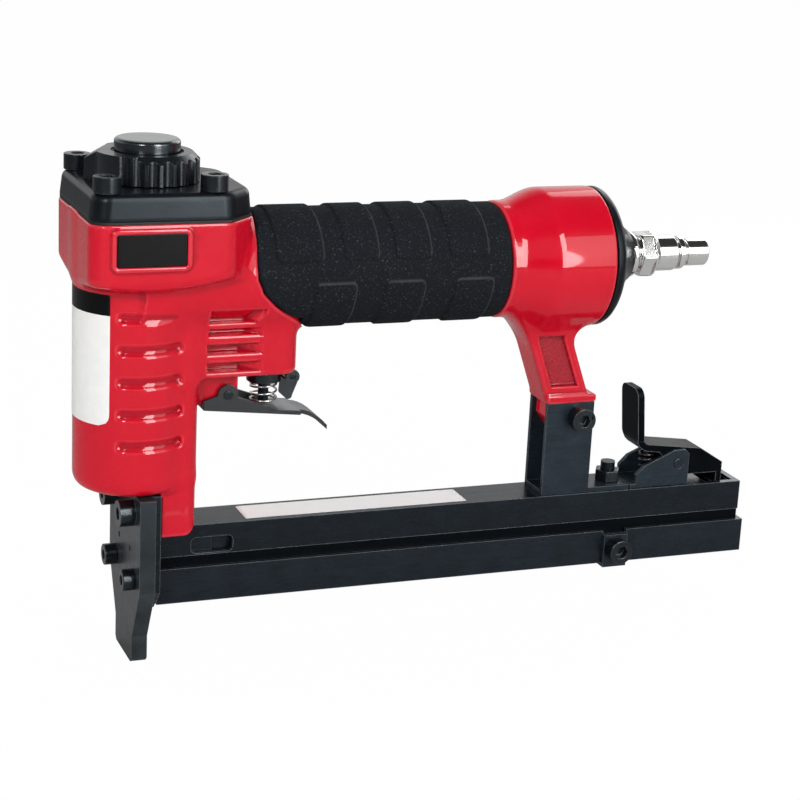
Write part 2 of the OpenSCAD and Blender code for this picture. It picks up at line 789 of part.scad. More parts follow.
// Plan of the squared back of the barrel, which runs on below it as the nose lug
module back_plan() { translate([lug_rear_x / 2, 0]) rounded_rect(lug_rear_x, 2 * lug_half_w, lug_round); }
module back_form() {
  translate([0, 0, barrel_bottom_z]) linear_extrude(head_bottom_z + head_flare_h - barrel_bottom_z) back_plan();
}
module lug_form() {
  difference() {
    intersection() {
      plate_y(-lug_half_w, lug_half_w) difference() {
        translate([guide_rear_x + gap, lug_bottom_z])
          square([lug_rear_x - guide_rear_x - gap, barrel_bottom_z - lug_bottom_z + over]);
        difference() {
          translate([lug_rear_x - lug_round, lug_bottom_z - over]) square([lug_round + over, lug_round + over]);
          translate([lug_rear_x - lug_round, lug_bottom_z + lug_round]) circle(lug_round);
        }
      }
      translate([0, 0, lug_bottom_z - over]) linear_extrude(barrel_bottom_z - lug_bottom_z + 3 * over) back_plan();
    }
    box(guide_rear_x, lug_rear_x + over, -mag_half_w - gap, mag_half_w + gap, lug_bottom_z - over, mag_top_z + gap);
  }
}
module barrel_grooves() {
  intersection() {
    for (i = [0:1:groove_count - 1])
      translate([0, 0, groove_top_z - i * groove_pitch]) o_ring(barrel_r + groove_sink, groove_r);
    both_sides() box(groove_x - groove_l / 2, groove_x + groove_l / 2, groove_y, 2 * barrel_r,
                     barrel_bottom_z, head_bottom_z);
  }
}
module valve_slots() {
  for (i = [0:valve_slot_count - 1]) both_sides()
    translate([valve_slot_x + valve_slot_l, 0, valve_slot_z + i * valve_slot_pitch]) {
      plate_y(-valve_half_w - over, -valve_half_w + valve_slot_d) {
        translate([-valve_slot_l, -valve_slot_h / 2]) square([valve_slot_l, valve_slot_h]);
        circle(valve_slot_h / 2, $fn = 32);
      }
    }
}
module housing_bores() {
  translate([0, 0, floor_z]) cylinder(r = cyl_bore_r, h = head_top_z - floor_z + over);
  translate([0, 0, head_bore_z]) cylinder(r = head_bore_r, h = head_top_z - head_bore_z + over);
  box(-channel_depth / 2, channel_depth / 2, -channel_w / 2, channel_w / 2, barrel_bottom_z - over, floor_z + over);
  translate([0, 0, handle_z]) {
    along_x(0) cylinder(r = chamber_r, h = bell_rear_x);
    along_x(bell_rear_x - bell_socket_l) cylinder(r = bell_socket_r, h = bell_socket_l + over);
  }
  translate([valve_x, 0, valve_bottom_z - over]) cylinder(r = bush_r + slip, h = handle_z - valve_bottom_z);
  cap_screw_places() translate([0, 0, head_top_z + gasket_h + cap_h - cap_screw_l - gap])
    cylinder(r = m5_r + run, h = cap_screw_l + over);
  translate([0, -trigger_half_w, 0]) translate([trigger_x, 0, trigger_z]) rotate([-90, 0, 0])
    cylinder(r = trigger_pin_r + run, h = 2 * trigger_half_w);
  translate([lock_x, 0, lock_z]) along_y(-lock_half_w) cylinder(r = lock_pin_r + run, h = 2 * lock_half_w);
  translate([bracket_screw_x, 0, bracket_screw_z]) along_y(-leg_half_w)
    cylinder(r = m5_r + slip, h = 2 * leg_half_w);
  nose_places(upper_screw_y, upper_screw_z) translate([0, 0, -upper_screw_l - gap])
    cylinder(r = m5_r + run, h = upper_screw_l + plate_t);
  translate([lug_rear_x - lug_hole_l, -upper_screw_y, lug_bottom_z + 2 * lug_round]) along_x(0)
    cylinder(r = lug_hole_r, h = lug_hole_l + over);
}
module housing() {
  color("crimson") difference() {
    union() {
      barrel_form();
      head_form();
      badge_frame();
      valve_form();
      handle_form();
      leg_form();
      back_form();
      lug_form();
    }
    housing_bores();
    barrel_grooves();
    valve_slots();
    leg_panel_cut();
  }
}

// Cylinder cap, its gasket and screws, and the exhaust deflector

module cap_gasket() {
  color("dimgray") translate([0, 0, head_top_z]) difference() {
    linear_extrude(gasket_h) head_plan(cap_inset);
    translate([0, 0, -over]) cylinder(r = head_bore_r + run, h = gasket_h + 2 * over);
    cap_screw_places() translate([0, 0, -over]) cylinder(r = m5_r + slip, h = gasket_h + 2 * over);
  }
}
module cylinder_cap() {
  color("#222222") difference() {
    union() {
      translate([0, 0, cap_z]) linear_extrude(cap_h) head_plan(cap_inset);
      translate([exhaust_x, 0, cap_top_z - over]) cylinder(r = spigot_r, h = spigot_top_z - cap_top_z + over);
    }
    translate([0, 0, cap_z - over]) ring(head_bore_r, exhaust_tube_r, cap_recess_h + over);
    translate([0, 0, cap_z - over]) cylinder(r = exhaust_bore_r, h = cap_recess_h + 2 * over);
    translate([exhaust_x, 0, cap_z + cap_recess_h - over])
      cylinder(r = exhaust_bore_r, h = spigot_top_z - retainer_stud_l / 2 - cap_z - cap_recess_h + over);
    translate([exhaust_x, 0, 0]) {
      for (turn = [0, 90]) rotate([0, 0, turn])
        translate([0, 0, cap_top_z + port_r + gap]) along_x(-2 * spigot_r) cylinder(r = port_r, h = 4 * spigot_r);
      translate([0, 0, spigot_top_z - retainer_stud_l - gap])
        cylinder(r = retainer_stud_r + slip, h = retainer_stud_l + over);
    }
    cap_screw_places() translate([0, 0, cap_z - over]) cylinder(r = m5_r + slip, h = cap_h + 2 * over);
  }
  color("#222222") translate([0, 0, head_valve_z + head_valve_web])
    ring(exhaust_tube_r, exhaust_bore_r, cap_z + cap_recess_h - head_valve_z - head_valve_web);
}
module cap_screws() {
  color("#1a1a1a") cap_screw_places() translate([0, 0, cap_top_z]) m5_screw(cap_screw_l);
}
module deflector_plan() {
  circle(deflector_r);
  polygon([[0, -deflector_r * spout_root_share], [spout_len, -spout_half_w], [spout_len, spout_half_w],
           [0, deflector_r * spout_root_share]]);
}
module exhaust_deflector() {
  color("#2a2a2a") translate([exhaust_x, 0, deflector_z]) rotate([0, 0, spout_turn]) difference() {
    intersection() {
      linear_extrude(deflector_h) deflector_plan();
      union() {
        rotate_extrude() polygon([[0, 0], [deflector_r, 0], [deflector_r, deflector_h - deflector_chamfer],
                                  [deflector_r - deflector_chamfer, deflector_h], [0, deflector_h]]);
        slab(2 * deflector_r) polygon([[0, 0], [spout_len, 0], [spout_len, deflector_h - 2 * spout_drop],
                                       [deflector_r - deflector_chamfer, deflector_h], [0, deflector_h]]);
      }
    }
    translate([0, 0, -over]) cylinder(r = spigot_r + run, h = deflector_h + 2 * over);
    translate([0, 0, -over]) cylinder(r = deflector_r - deflector_wall, h = deflector_h - deflector_roof + over);
    translate([0, -spout_half_w + deflector_wall / 2, -over])
      cube([spout_len + over, 2 * spout_half_w - deflector_wall, deflector_h - 2 * spout_drop - deflector_roof + over]);
    translate([0, 0, deflector_h - retainer_seat]) cylinder(r = retainer_r + retainer_clear, h = retainer_seat + over);
    for (i = [1:flute_count]) rotate([0, 0, flute_start_turn + i * flute_span / (flute_count + 1)])
      translate([deflector_r + flute_r / 2, 0, -over]) cylinder(r = flute_r, h = deflector_h + 2 * over, $fn = 24);
  }
}
module deflector_retainer() {
  color("#2a2a2a") translate([exhaust_x, 0, spigot_top_z]) {
    rotate_extrude() polygon([[0, 0], [retainer_r, 0], [retainer_r, retainer_h - retainer_round],
                              [retainer_r - retainer_round, retainer_h], [0, retainer_h]]);
    translate([0, 0, -retainer_stud_l]) cylinder(r = retainer_stud_r, h = retainer_stud_l + over);
  }
}

// Head valve, liner and driver

module head_valve() {
  color("gainsboro") translate([0, 0, head_valve_z]) difference() {
    union() {
      cylinder(r = head_valve_r, h = head_valve_web);
      ring(head_valve_r, head_valve_r - head_valve_wall, head_valve_h);
      cylinder(r = head_valve_hub_r, h = head_valve_h);
    }
    translate([0, 0, -over]) cylinder(r = exhaust_tube_r + run, h = head_valve_h + 2 * over);
    translate([0, 0, (head_valve_h - ring_groove_h) / 2])
      ring(head_valve_r + over, head_bore_r - 2 * ring_wire_r - slip, ring_groove_h);
  }
}
module head_valve_ring() {
  color("#151515") translate([0, 0, head_valve_z + head_valve_h / 2]) o_ring(head_bore_r - ring_wire_r - run, ring_wire_r);
}
module head_valve_spring() {
  z0 = head_valve_z + head_valve_web + head_spring_wire_r + gap;
  z1 = cap_z + cap_recess_h - head_spring_wire_r - gap;
  color("silver") translate([0, 0, z0]) coil(head_spring_r, head_spring_wire_r, z1 - z0, head_spring_curls);
}
module cylinder_liner() {
  color("silver") difference() {
    union() {
      translate([0, 0, floor_z]) cylinder(r = liner_bore_r + liner_wall, h = liner_top_z - floor_z);
      translate([0, 0, head_bore_z]) cylinder(r = head_bore_r - slip, h = liner_flange_h);
      translate([0, 0, floor_z]) cylinder(r = cyl_bore_r - slip, h = liner_collar_h);
    }
    translate([0, 0, floor_z - over]) cylinder(r = liner_bore_r, h = liner_top_z - floor_z + 2 * over);
    translate([0, 0, head_bore_z + (liner_flange_h - ring_groove_h) / 2])
      ring(head_bore_r + over, head_bore_r - 2 * ring_wire_r - slip, ring_groove_h);
    translate([0, 0, floor_z + (liner_collar_h - ring_groove_h) / 2])
      ring(cyl_bore_r + over, cyl_bore_r - 2 * ring_wire_r - slip, ring_groove_h);
    for (i = [0:liner_port_count - 1]) rotate([0, 0, i * 360 / liner_port_count])
      translate([0, 0, bumper_top_z + liner_port_rise]) along_x(0)
        cylinder(r = liner_port_r, h = cyl_bore_r, $fn = 24);
  }
}
module liner_rings() {
  color("#151515") {
    translate([0, 0, head_bore_z + liner_flange_h / 2]) o_ring(head_bore_r - ring_wire_r - run, ring_wire_r);
    translate([0, 0, floor_z + liner_collar_h / 2]) o_ring(cyl_bore_r - ring_wire_r - run, ring_wire_r);
  }
}
module blade_pin_hole(r, half_l) {
  translate([0, 0, piston_z + blade_seat / 2]) along_x(-half_l) cylinder(r = r, h = 2 * half_l, $fn = 32);
}
module piston() {
  color("lightgray") difference() {
    translate([0, 0, piston_z]) cylinder(r = piston_r, h = piston_h);
    translate([0, 0, piston_z + (piston_h - ring_groove_h) / 2])
      ring(piston_r + over, liner_bore_r - 2 * ring_wire_r - slip, ring_groove_h);
    box(-blade_t / 2 - slip, blade_t / 2 + slip, -blade_w / 2 - slip, blade_w / 2 + slip, piston_z - over,
        blade_top_z + slip);
    blade_pin_hole(blade_pin_r + run, 2 * piston_r);
  }
}
module piston_ring() {
  color("#151515") translate([0, 0, piston_z + piston_h / 2]) o_ring(liner_bore_r - ring_wire_r - run, ring_wire_r);
}
module blade_pin() {
  color("silver") blade_pin_hole(blade_pin_r, piston_r - over);
}
module driver_blade() {
  color("silver") difference() {
    box(-blade_t / 2, blade_t / 2, -blade_w / 2, blade_w / 2, blade_tip_z, blade_top_z);
    blade_pin_hole(blade_pin_r + run, 2 * piston_r);
  }
}
module bumper() {
  color("#303030") translate([0, 0, floor_z]) ring(liner_bore_r - slip, bumper_hole_r, bumper_h);
}

// Nose

module front_plate() {
  side = [[plate_tip_half_w - plate_tip_chamfer, 0], [plate_tip_half_w, plate_tip_chamfer],
          [plate_tip_half_w, plate_tip_h], [plate_half_w, plate_shoulder_z], [plate_half_w, plate_top_z]];
  color("#20242a") difference() {
    translate([plate_front_x, 0, 0]) rotate([90, 0, 90]) linear_extrude(plate_t)
      polygon(concat(side, [for (i = [len(side) - 1:-1:0]) [-side[i][0], side[i][1]]]));
    box(groove_front_x, split_x + over, -channel_w / 2, channel_w / 2, -over, plate_top_z + over);
    nose_places(upper_screw_y, upper_screw_z) translate([0, 0, -plate_t - over])
      cylinder(r = m5_r + slip, h = plate_t + 2 * over);
    nose_places(lower_screw_y, lower_screw_z) translate([0, 0, -plate_t - over])
      cylinder(r = m4_r + slip, h = plate_t + 2 * over);
    nose_places(plate_pin_y, plate_pin_z) translate([0, 0, -plate_t - over])
      cylinder(r = plate_pin_r, h = plate_t + 2 * over, $fn = 24);
  }
}
module driver_guide() {
  side = [[guide_tip_half_w, guide_tip_z], [guide_half_w, guide_shoulder_z], [guide_half_w, guide_top_z]];
  color("#3a3d42") difference() {
    union() {
      translate([split_x, 0, 0]) rotate([90, 0, 90]) linear_extrude(guide_t)
        polygon(concat(side, [for (i = [len(side) - 1:-1:0]) [-side[i][0], side[i][1]]]));
      box(groove_front_x + channel_depth, split_x + over, -channel_w / 2 + slip, channel_w / 2 - slip, 0, guide_top_z);
    }
    box(groove_front_x, guide_rear_x + over, -feed_half_w, feed_half_w, feed_bottom_z, mag_ceiling_z);
    nose_places(upper_screw_y, upper_screw_z) translate([0, 0, -plate_t - guide_t - over])
      cylinder(r = m5_r + slip, h = plate_t + guide_t + over);
    nose_places(lower_screw_y, lower_screw_z) translate([0, 0, -plate_t - guide_t - over])
      cylinder(r = m4_r + run, h = plate_t + guide_t + over);
  }
}
module upper_nose_screws() {
  color("#1a1a1a") nose_places(upper_screw_y, upper_screw_z) m5_screw(upper_screw_l);
}
module lower_nose_screws() {
  color("#1a1a1a") nose_places(lower_screw_y, lower_screw_z) m4_screw(lower_screw_l);
}

// Trigger valve, trigger and lock

module valve_bush() {
  color("#1f1f1f") translate([valve_x, 0, 0]) difference() {
    union() {
      translate([0, 0, bush_bottom_z]) cylinder(r = bush_r, h = bush_top_z - bush_bottom_z);
      translate([0, 0, bush_bottom_z]) cylinder(r = bush_flange_r, h = bush_drop - gap / 2);
    }
    translate([0, 0, bush_bottom_z - over]) cylinder(r = stem_r + run, h = bush_top_z - bush_bottom_z + 2 * over);
    translate([0, 0, bush_top_z - bush_counter_l]) cylinder(r = bush_counter_r, h = bush_counter_l + over);
  }
}
module valve_stem() {
  color("silver") translate([valve_x, 0, 0]) difference() {
    union() {
      translate([0, 0, stem_bottom_z]) cylinder(r = stem_r, h = stem_top_z - stem_bottom_z);
      translate([0, 0, stem_top_z - stem_head_h + gap]) cylinder(r = stem_head_r, h = stem_head_h);
    }
    translate([0, 0, stem_top_z - stem_head_h / 2 - stem_ring_wire_r])
      ring(stem_head_r + over, bush_counter_r - 2 * stem_ring_wire_r - slip, 2 * stem_ring_wire_r + slip);
  }
}
module stem_ring() {
  color("#151515") translate([valve_x, 0, stem_top_z - stem_head_h / 2 + slip / 2])
    o_ring(bush_counter_r - stem_ring_wire_r - run, stem_ring_wire_r);
}
// Underside of the trigger: straight as far as the knee, then a tail that curves down
function trigger_floor(x) =
  let (t = max(0, x - trigger_knee_x) / trigger_tail_l)
  trigger_front_z + trigger_slope * (x - trigger_front_x) - (trigger_tail_drop + trigger_slope * trigger_tail_l) * t * t;
module trigger() {
  tail = [for (i = [0:trigger_tail_steps]) trigger_knee_x + trigger_tail_l * i / trigger_tail_steps];
  color("#23262b") difference() {
    union() {
      slab(2 * trigger_half_w)
        polygon([[trigger_front_x, trigger_front_z], [trigger_knee_x, trigger_knee_z],
                 [trigger_knee_x, trigger_knee_z + trigger_t], [trigger_front_x, trigger_front_z + trigger_t]]);
      slab(2 * trigger_tail_half_w)
        polygon(concat([[trigger_knee_x - over, trigger_floor(trigger_knee_x - over)]],
                       [for (x = tail) [x, trigger_floor(x)]],
                       [for (i = [trigger_tail_steps:-1:0]) [tail[i], trigger_floor(tail[i]) + trigger_t]],
                       [[trigger_knee_x - over, trigger_floor(trigger_knee_x - over) + trigger_t]]));
      both_sides() plate_y(trigger_half_w - trigger_t, trigger_half_w) {
        polygon([[trigger_front_x, trigger_front_z], [trigger_wall_rear_x, trigger_floor(trigger_wall_rear_x)],
                 [trigger_wall_rear_x, trigger_floor(trigger_wall_rear_x) + trigger_t],
                 [trigger_x + trigger_ear_r, trigger_z - trigger_ear_r / 4],
                 [trigger_x - trigger_ear_r, trigger_z], [trigger_front_x, trigger_front_z + 2 * trigger_t]]);
        translate([trigger_x, trigger_z]) circle(trigger_ear_r);
      }
    }
    translate([trigger_x, 0, trigger_z]) along_y(-trigger_half_w - over)
      cylinder(r = trigger_pin_r + run, h = 2 * (trigger_half_w + over));
  }
}
module trigger_pin() {
  color("dimgray") translate([trigger_x, 0, trigger_z]) along_y(-trigger_half_w - gap)
    cylinder(r = trigger_pin_r, h = 2 * (trigger_half_w + gap));
}
module trigger_spring() {
  z0 = trigger_spring_bottom_z + trigger_spring_wire_r;
  z1 = bush_bottom_z - trigger_spring_wire_r - gap / 2;
  color("silver") translate([valve_x, 0, z0]) coil(trigger_spring_r, trigger_spring_wire_r, z1 - z0, trigger_spring_curls);
}
module lock_finger() {
  tip_x = lock_x - lock_lean;
  tip_z = lock_z - lock_len + lock_tip_r;
  color("#23262b") difference() {
    slab(2 * lock_half_w) {
      translate([lock_x, lock_z]) circle(lock_eye_r);
      translate([tip_x, tip_z]) circle(lock_tip_r, $fn = 32);
      polygon([[lock_x - lock_eye_r, lock_z], [tip_x - lock_tip_r, tip_z], [tip_x + lock_tip_r, tip_z],
               [lock_x + lock_eye_r, lock_z]]);
    }
    slab(2 * lock_lug_half_w + gap) translate([lock_x, lock_z]) circle(lock_eye_r + gap);
    translate([lock_x, 0, lock_z]) along_y(-2 * lock_half_w) cylinder(r = lock_pin_r + run, h = 4 * lock_half_w);
  }
}
module lock_pin() {
  color("dimgray") translate([lock_x, 0, lock_z]) along_y(-lock_half_w) cylinder(r = lock_pin_r, h = 2 * lock_half_w);
}

// Grip, end cap and air plug

module grip_sleeve() {
  color("#1c1c1c") difference() {
    translate([0, 0, handle_z]) along_x(neck_front_x) cylinder(r = grip_r, h = grip_rear_x - neck_front_x);
    translate([0, 0, handle_z]) along_x(neck_front_x - over) cylinder(r = tube_r + slip, h = grip_rear_x);
    slab(4 * grip_r) neck_side(0);
    box(neck_front_x, valve_rear_x + gap, -valve_half_w - gap, valve_half_w + gap, valve_bottom_z, handle_z);
  }
}
module end_cap_ring() {
  color("#151515") translate([0, 0, handle_z]) along_x(bell_rear_x - bell_socket_l / 2)
    o_ring(bell_socket_r - ring_wire_r - run, ring_wire_r);
}
module end_cap() {
  dome = [for (p = dome_shares)
          [dome_flat_r + (bell_r - slip - dome_flat_r) * p[0], dome_x + dome_edge + (dome_len - dome_edge) * p[1]]];
  color("#17181a") translate([0, 0, handle_z]) difference() {
    union() {
      along_x(0) rotate_extrude() polygon(concat([[0, dome_x], [bell_r - slip, dome_x]], dome, [[0, dome_rear_x]]));
      along_x(bell_rear_x - bell_socket_l + gap) cylinder(r = end_spigot_r, h = bell_socket_l + over - gap);
    }
    along_x(bell_rear_x - bell_socket_l - over) cylinder(r = end_spigot_bore_r, h = bell_socket_l + over + gap);
    along_x(bell_rear_x - bell_socket_l / 2 - ring_groove_h / 2)
      ring(bell_socket_r + over, bell_socket_r - 2 * ring_wire_r - slip, ring_groove_h);
    along_x(bell_rear_x - over) cylinder(r = plug_thread_r + run, h = dome_len + 2 * over);
  }
}
module air_plug() {
  neck_x = plug_nose_x + plug_nose_l * plug_neck_share;
  bulb_x = plug_nose_x + plug_nose_l * plug_bulb_share;
  color("silver") translate([0, 0, handle_z]) difference() {
    union() {
      along_x(plug_hex_x - plug_thread_l) cylinder(r = plug_thread_r, h = plug_thread_l + over);
      along_x(plug_hex_x) rotate([0, 0, 30]) hexagon(plug_hex_af, plug_hex_l - plug_cone_l);
      along_x(plug_barrel_x - plug_cone_l - over)
        cylinder(r1 = plug_hex_af / 2, r2 = plug_barrel_r, h = plug_cone_l + over);
      along_x(plug_barrel_x - over) cylinder(r = plug_barrel_r, h = plug_barrel_l + over);
      along_x(0) rotate_extrude()
        polygon([[0, plug_nose_x - over], [plug_neck_r, plug_nose_x - over], [plug_neck_r, neck_x],
                 [plug_bulb_r, neck_x + plug_bulb_r - plug_neck_r], [plug_bulb_r, bulb_x],
                 [plug_tip_r, bulb_x + plug_bulb_r - plug_tip_r], [plug_tip_r, plug_rear_x], [0, plug_rear_x]]);
    }
    along_x(plug_hex_x - plug_thread_l - over) cylinder(r = plug_bore_r, h = plug_rear_x);
  }
}

// Rear bracket

module bracket() {
  color("#24282d") difference() {
    union() {
      both_sides() box(bracket_front_x, bracket_rear_x, bracket_half_w - bracket_t, bracket_half_w, mag_top_z, bracket_top_z);
      box(bracket_front_x, bracket_base_rear_x, -bracket_half_w, bracket_half_w, mag_top_z, mag_top_z + bracket_t);
    }
    translate([bracket_screw_x, 0, bracket_screw_z]) along_y(-2 * bracket_half_w)
      cylinder(r = m5_r + slip, h = 4 * bracket_half_w);
    translate([stud_x, 0, mag_top_z - over]) cylinder(r = m5_r + slip, h = bracket_t + 2 * over);
  }
}
module bracket_screw() {
  color("#1a1a1a") translate([bracket_screw_x, -bracket_half_w, bracket_screw_z]) rotate([90, 0, 0]) m5_screw(bracket_screw_l);
}
module bracket_nut() {
  color("#1a1a1a") translate([bracket_screw_x, 0, bracket_screw_z]) along_y(bracket_half_w)
    nut(m5_nut_af, m5_nut_h, m5_r + run);
}

// Magazine

module fixed_magazine() {
  color("#1d2126") difference() {
    union() {
      box(mag_front_x, mag_rear_x, -mag_half_w, mag_half_w, mag_ceiling_z, mag_top_z);
      both_sides() {
        box(mag_front_x, mag_rear_x, mag_inner_half_w, mag_half_w, mag_skirt_top_z, mag_top_z);
        box(mag_front_x, mag_rear_x, mag_inner_half_w, mag_inner_half_w + skirt_wall, mag_skirt_bottom_z, mag_top_z);
      }
      translate([stud_x, 0, mag_top_z - mag_wall / 2]) cylinder(r = m5_r, h = stud_h + mag_wall / 2);
    }
    plate_y(-2 * mag_half_w, 2 * mag_half_w)
      translate([mag_view_x + mag_view_l / 2, mag_view_z + mag_view_h / 2]) rounded_rect(mag_view_l, mag_view_h, mag_view_h / 3);
    box(mag_window_front_x, mag_window_rear_x, -mag_window_half_w, mag_window_half_w, mag_ceiling_z - over, mag_top_z + over);
  }
}
module magazine_nut() {
  color("#1a1a1a") translate([stud_x, 0, mag_top_z + bracket_t]) nut(m5_nut_af, m5_nut_h, m5_r + run);
}
module magazine_slide() {
  top = slide_bottom_z + slide_h;
  inner = slide_half_w - slide_wall;
  color("#1d2126") difference() {
    box(slide_front_x, slide_rear_x, -slide_half_w, slide_half_w, slide_bottom_z, top);
    box(slide_front_x - over, slide_rear_x - slide_end_t, -inner, inner, slide_floor_z, top + over);
    translate([clip_x, -slide_half_w - over, clip_screw_z]) along_y(0) cylinder(r = m5_r + slip, h = slide_wall + 2 * over);
    both_sides() box(clip_x - clip_w / 2, clip_x + clip_w / 2, inner - over, slide_half_w + over, top - clip_t, top + over);
  }
}
module staple_rail() {
  color("slategray") difference() {
    union() {
      box(slide_front_x, rail_rear_x, -rail_half_w, rail_half_w, slide_floor_z, rail_top_z);
      box(catch_x, catch_x + catch_l, -catch_half_w, catch_half_w, rail_top_z - over, catch_top_z);
    }
    box(slide_front_x + rail_block_l / 2, rail_rear_x - rail_block_l, -rail_half_w + rail_wall, rail_half_w - rail_wall,
        slide_floor_z - over, rail_top_z - rail_wall);
    box(rail_slot_front_x, catch_x - catch_l, -rail_slot_half_w, rail_slot_half_w, rail_top_z - 2 * rail_wall, rail_top_z + over);
    translate([0, 0, rod_z]) along_x(slide_front_x - over) cylinder(r = rod_r + run, h = rail_rear_x, $fn = 32);
  }
}
module spring_rod() {
  color("silver") translate([0, 0, rod_z]) along_x(slide_front_x + gap)
    cylinder(r = rod_r, h = rail_rear_x - slide_front_x - 2 * gap, $fn = 32);
}
module pusher() {
  inner = rail_half_w + gap;
  color("gray") difference() {
    union() {
      difference() {
        box(pusher_x, pusher_x + pusher_l, -inner - pusher_wall, inner + pusher_wall, catch_top_z - pusher_skirt_h, catch_top_z);
        box(pusher_x - over, pusher_x + pusher_l + over, -inner, inner, catch_top_z - pusher_skirt_h - over, rail_top_z + gap);
      }
      box(pusher_x + pusher_l - pusher_tongue_l, pusher_x + pusher_l, -pusher_tongue_half_w, pusher_tongue_half_w,
          rod_z - 3 * rod_r, catch_top_z);
    }
    translate([0, 0, rod_z]) along_x(pusher_x) cylinder(r = rod_r + slip, h = pusher_l + over, $fn = 32);
  }
}
module pusher_spring() {
  x0 = pusher_x + pusher_l + gap;
  color("silver") translate([0, 0, rod_z]) along_x(x0)
    ring(pusher_spring_r, pusher_spring_bore_r, rail_rear_x - rail_block_l - gap - x0);
}
module clip_strap() {
  top = slide_bottom_z + slide_h;
  color("#24282d") difference() {
    box(clip_x - clip_w / 2, clip_x + clip_w / 2, -slide_half_w - clip_t, slide_half_w + clip_t, slide_bottom_z - clip_t, top - clip_t);
    box(clip_x - clip_w, clip_x + clip_w, -slide_half_w, slide_half_w, slide_bottom_z, top);
    translate([clip_x, -slide_half_w - clip_t - over, clip_screw_z]) along_y(0) cylinder(r = m5_r + slip, h = clip_t + 2 * over);
  }
}
module clip_screw() {
  color("#1a1a1a") translate([clip_x, -slide_half_w - clip_t, clip_screw_z]) rotate([90, 0, 0])
    m5_screw(clip_t + slide_wall - gap / 2);
}

// Latch

module latch_bracket() {
  color("#24282d") difference() {
    union() {
      box(latch_base_front_x, latch_ear_rear_x, -latch_half_w, latch_half_w, mag_top_z, mag_top_z + latch_t);
      both_sides() plate_y(latch_inner_half_w, latch_half_w)
        polygon([[latch_cheek_x, mag_top_z], [latch_ear_rear_x, mag_top_z],
                 [latch_ear_rear_x, latch_ear_top_z - latch_t], [latch_ear_rear_x - latch_t, latch_ear_top_z],
                 [latch_x - latch_pin_r, latch_ear_top_z], [latch_x - latch_slope_l, latch_z],
                 [latch_cheek_x, latch_z - 2 * latch_t]]);
    }
    translate([latch_x, 0, latch_z]) along_y(-2 * latch_half_w) cylinder(r = latch_pin_r + run, h = 4 * latch_half_w);
  }
}
module latch_pin() {
  color("dimgray") translate([latch_x, 0, latch_z]) along_y(-latch_half_w - gap)
    cylinder(r = latch_pin_r, h = 2 * (latch_half_w + gap));
}
function bend_points(r, from, to) =
  [for (i = [0:lever_bend_steps])
   let (a = from + (to - from) * i / lever_bend_steps) [lever_bend_x + r * cos(a), lever_bend_z + r * sin(a)]];
// Side view of the bent sheet: thumb tab, bend, plate, nose and hook
module lever_side(tab_top_z) {
  polygon(concat(
    [[lever_tab_x - lever_tab_lean, tab_top_z], [lever_tab_x - lever_tab_lean + lever_t, tab_top_z]],
    bend_points(lever_bend_r, 180, 270),
    [[lever_knee_x, lever_knee_z], [lever_nose_x, lever_nose_z], [lever_nose_x, lever_hook_z],
     [lever_nose_x - lever_hook_t, lever_hook_z], [lever_nose_x - lever_hook_t, lever_nose_z - 2 * lever_t / 3],
     [lever_knee_x - lever_t / 3, lever_knee_z - lever_t]],
    bend_points(lever_bend_r + lever_t, 270, 180)));
}
module latch_lever() {
  tab_top_z = latch_z + latch_tab_h;
  color("#1d2126") difference() {
    union() {
      intersection() {
        slab(2 * lever_tab_half_w) lever_side(tab_top_z);
        union() {
          translate([lever_tab_x - lever_tab_lean - over, 0, (lever_plate_z + tab_top_z) / 2]) rotate([90, 0, 90])
            linear_extrude(lever_bend_x - lever_tab_x + lever_tab_lean)
              rounded_rect(2 * lever_tab_half_w, tab_top_z - lever_plate_z, lever_tab_round);
          box(lever_tab_x - over, lever_nose_x + over, -lever_half_w, lever_half_w, lever_hook_z - over, lever_bend_z);
        }
      }
      both_sides() plate_y(lever_half_w - lever_flange_t, lever_half_w)
        polygon([[latch_x - 4 * latch_pin_r, lever_plate_z - 3 * lever_t / 4], [lever_knee_x, lever_knee_z - lever_t / 2],
                 [lever_nose_x - lever_t / 2, lever_nose_z - lever_t / 4],
                 [lever_nose_x - lever_hook_t, latch_z - lever_skirt_drop],
                 [latch_x - latch_pin_r, latch_z - lever_skirt_drop], [latch_x - 2 * latch_pin_r, latch_z]]);
    }
    translate([latch_x, 0, latch_z]) along_y(-2 * latch_half_w) cylinder(r = latch_pin_r + run, h = 4 * latch_half_w);
  }
}
module latch_spring() {
  z0 = mag_top_z + latch_t + latch_spring_wire_r + gap;
  plate_z = lever_plate_z + lever_slope * (latch_spring_x + 2 * latch_spring_r - lever_bend_x) - lever_t;
  z1 = plate_z - latch_spring_wire_r - 2 * gap;
  color("silver") translate([latch_spring_x, 0, z0]) coil(latch_spring_r, latch_spring_wire_r, z1 - z0, latch_spring_curls);
}

housing();
cap_gasket();
cylinder_cap();
cap_screws();
exhaust_deflector();
deflector_retainer();
head_valve();
head_valve_ring();
head_valve_spring();
cylinder_liner();
liner_rings();
piston();
piston_ring();
blade_pin();
driver_blade();
bumper();
driver_guide();
front_plate();
upper_nose_screws();
lower_nose_screws();
valve_bush();
valve_stem();
stem_ring();
trigger();
trigger_pin();
trigger_spring();
lock_finger();
lock_pin();
grip_sleeve();
end_cap_ring();
end_cap();
air_plug();
bracket();
bracket_screw();
bracket_nut();
fixed_magazine();
magazine_nut();
magazine_slide();
staple_rail();
spring_rod();
pusher();
pusher_spring();
clip_strap();
clip_screw();
latch_bracket();
latch_pin();
latch_lever();
latch_spring();
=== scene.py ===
"""Looks of a pneumatic upholstery stapler, built round its CAD frame.

Shapes are worked out in millimetres, in the frame's own axes, and stored in metres.
"""

import math

import bpy
import numpy as np
from mathutils import Matrix


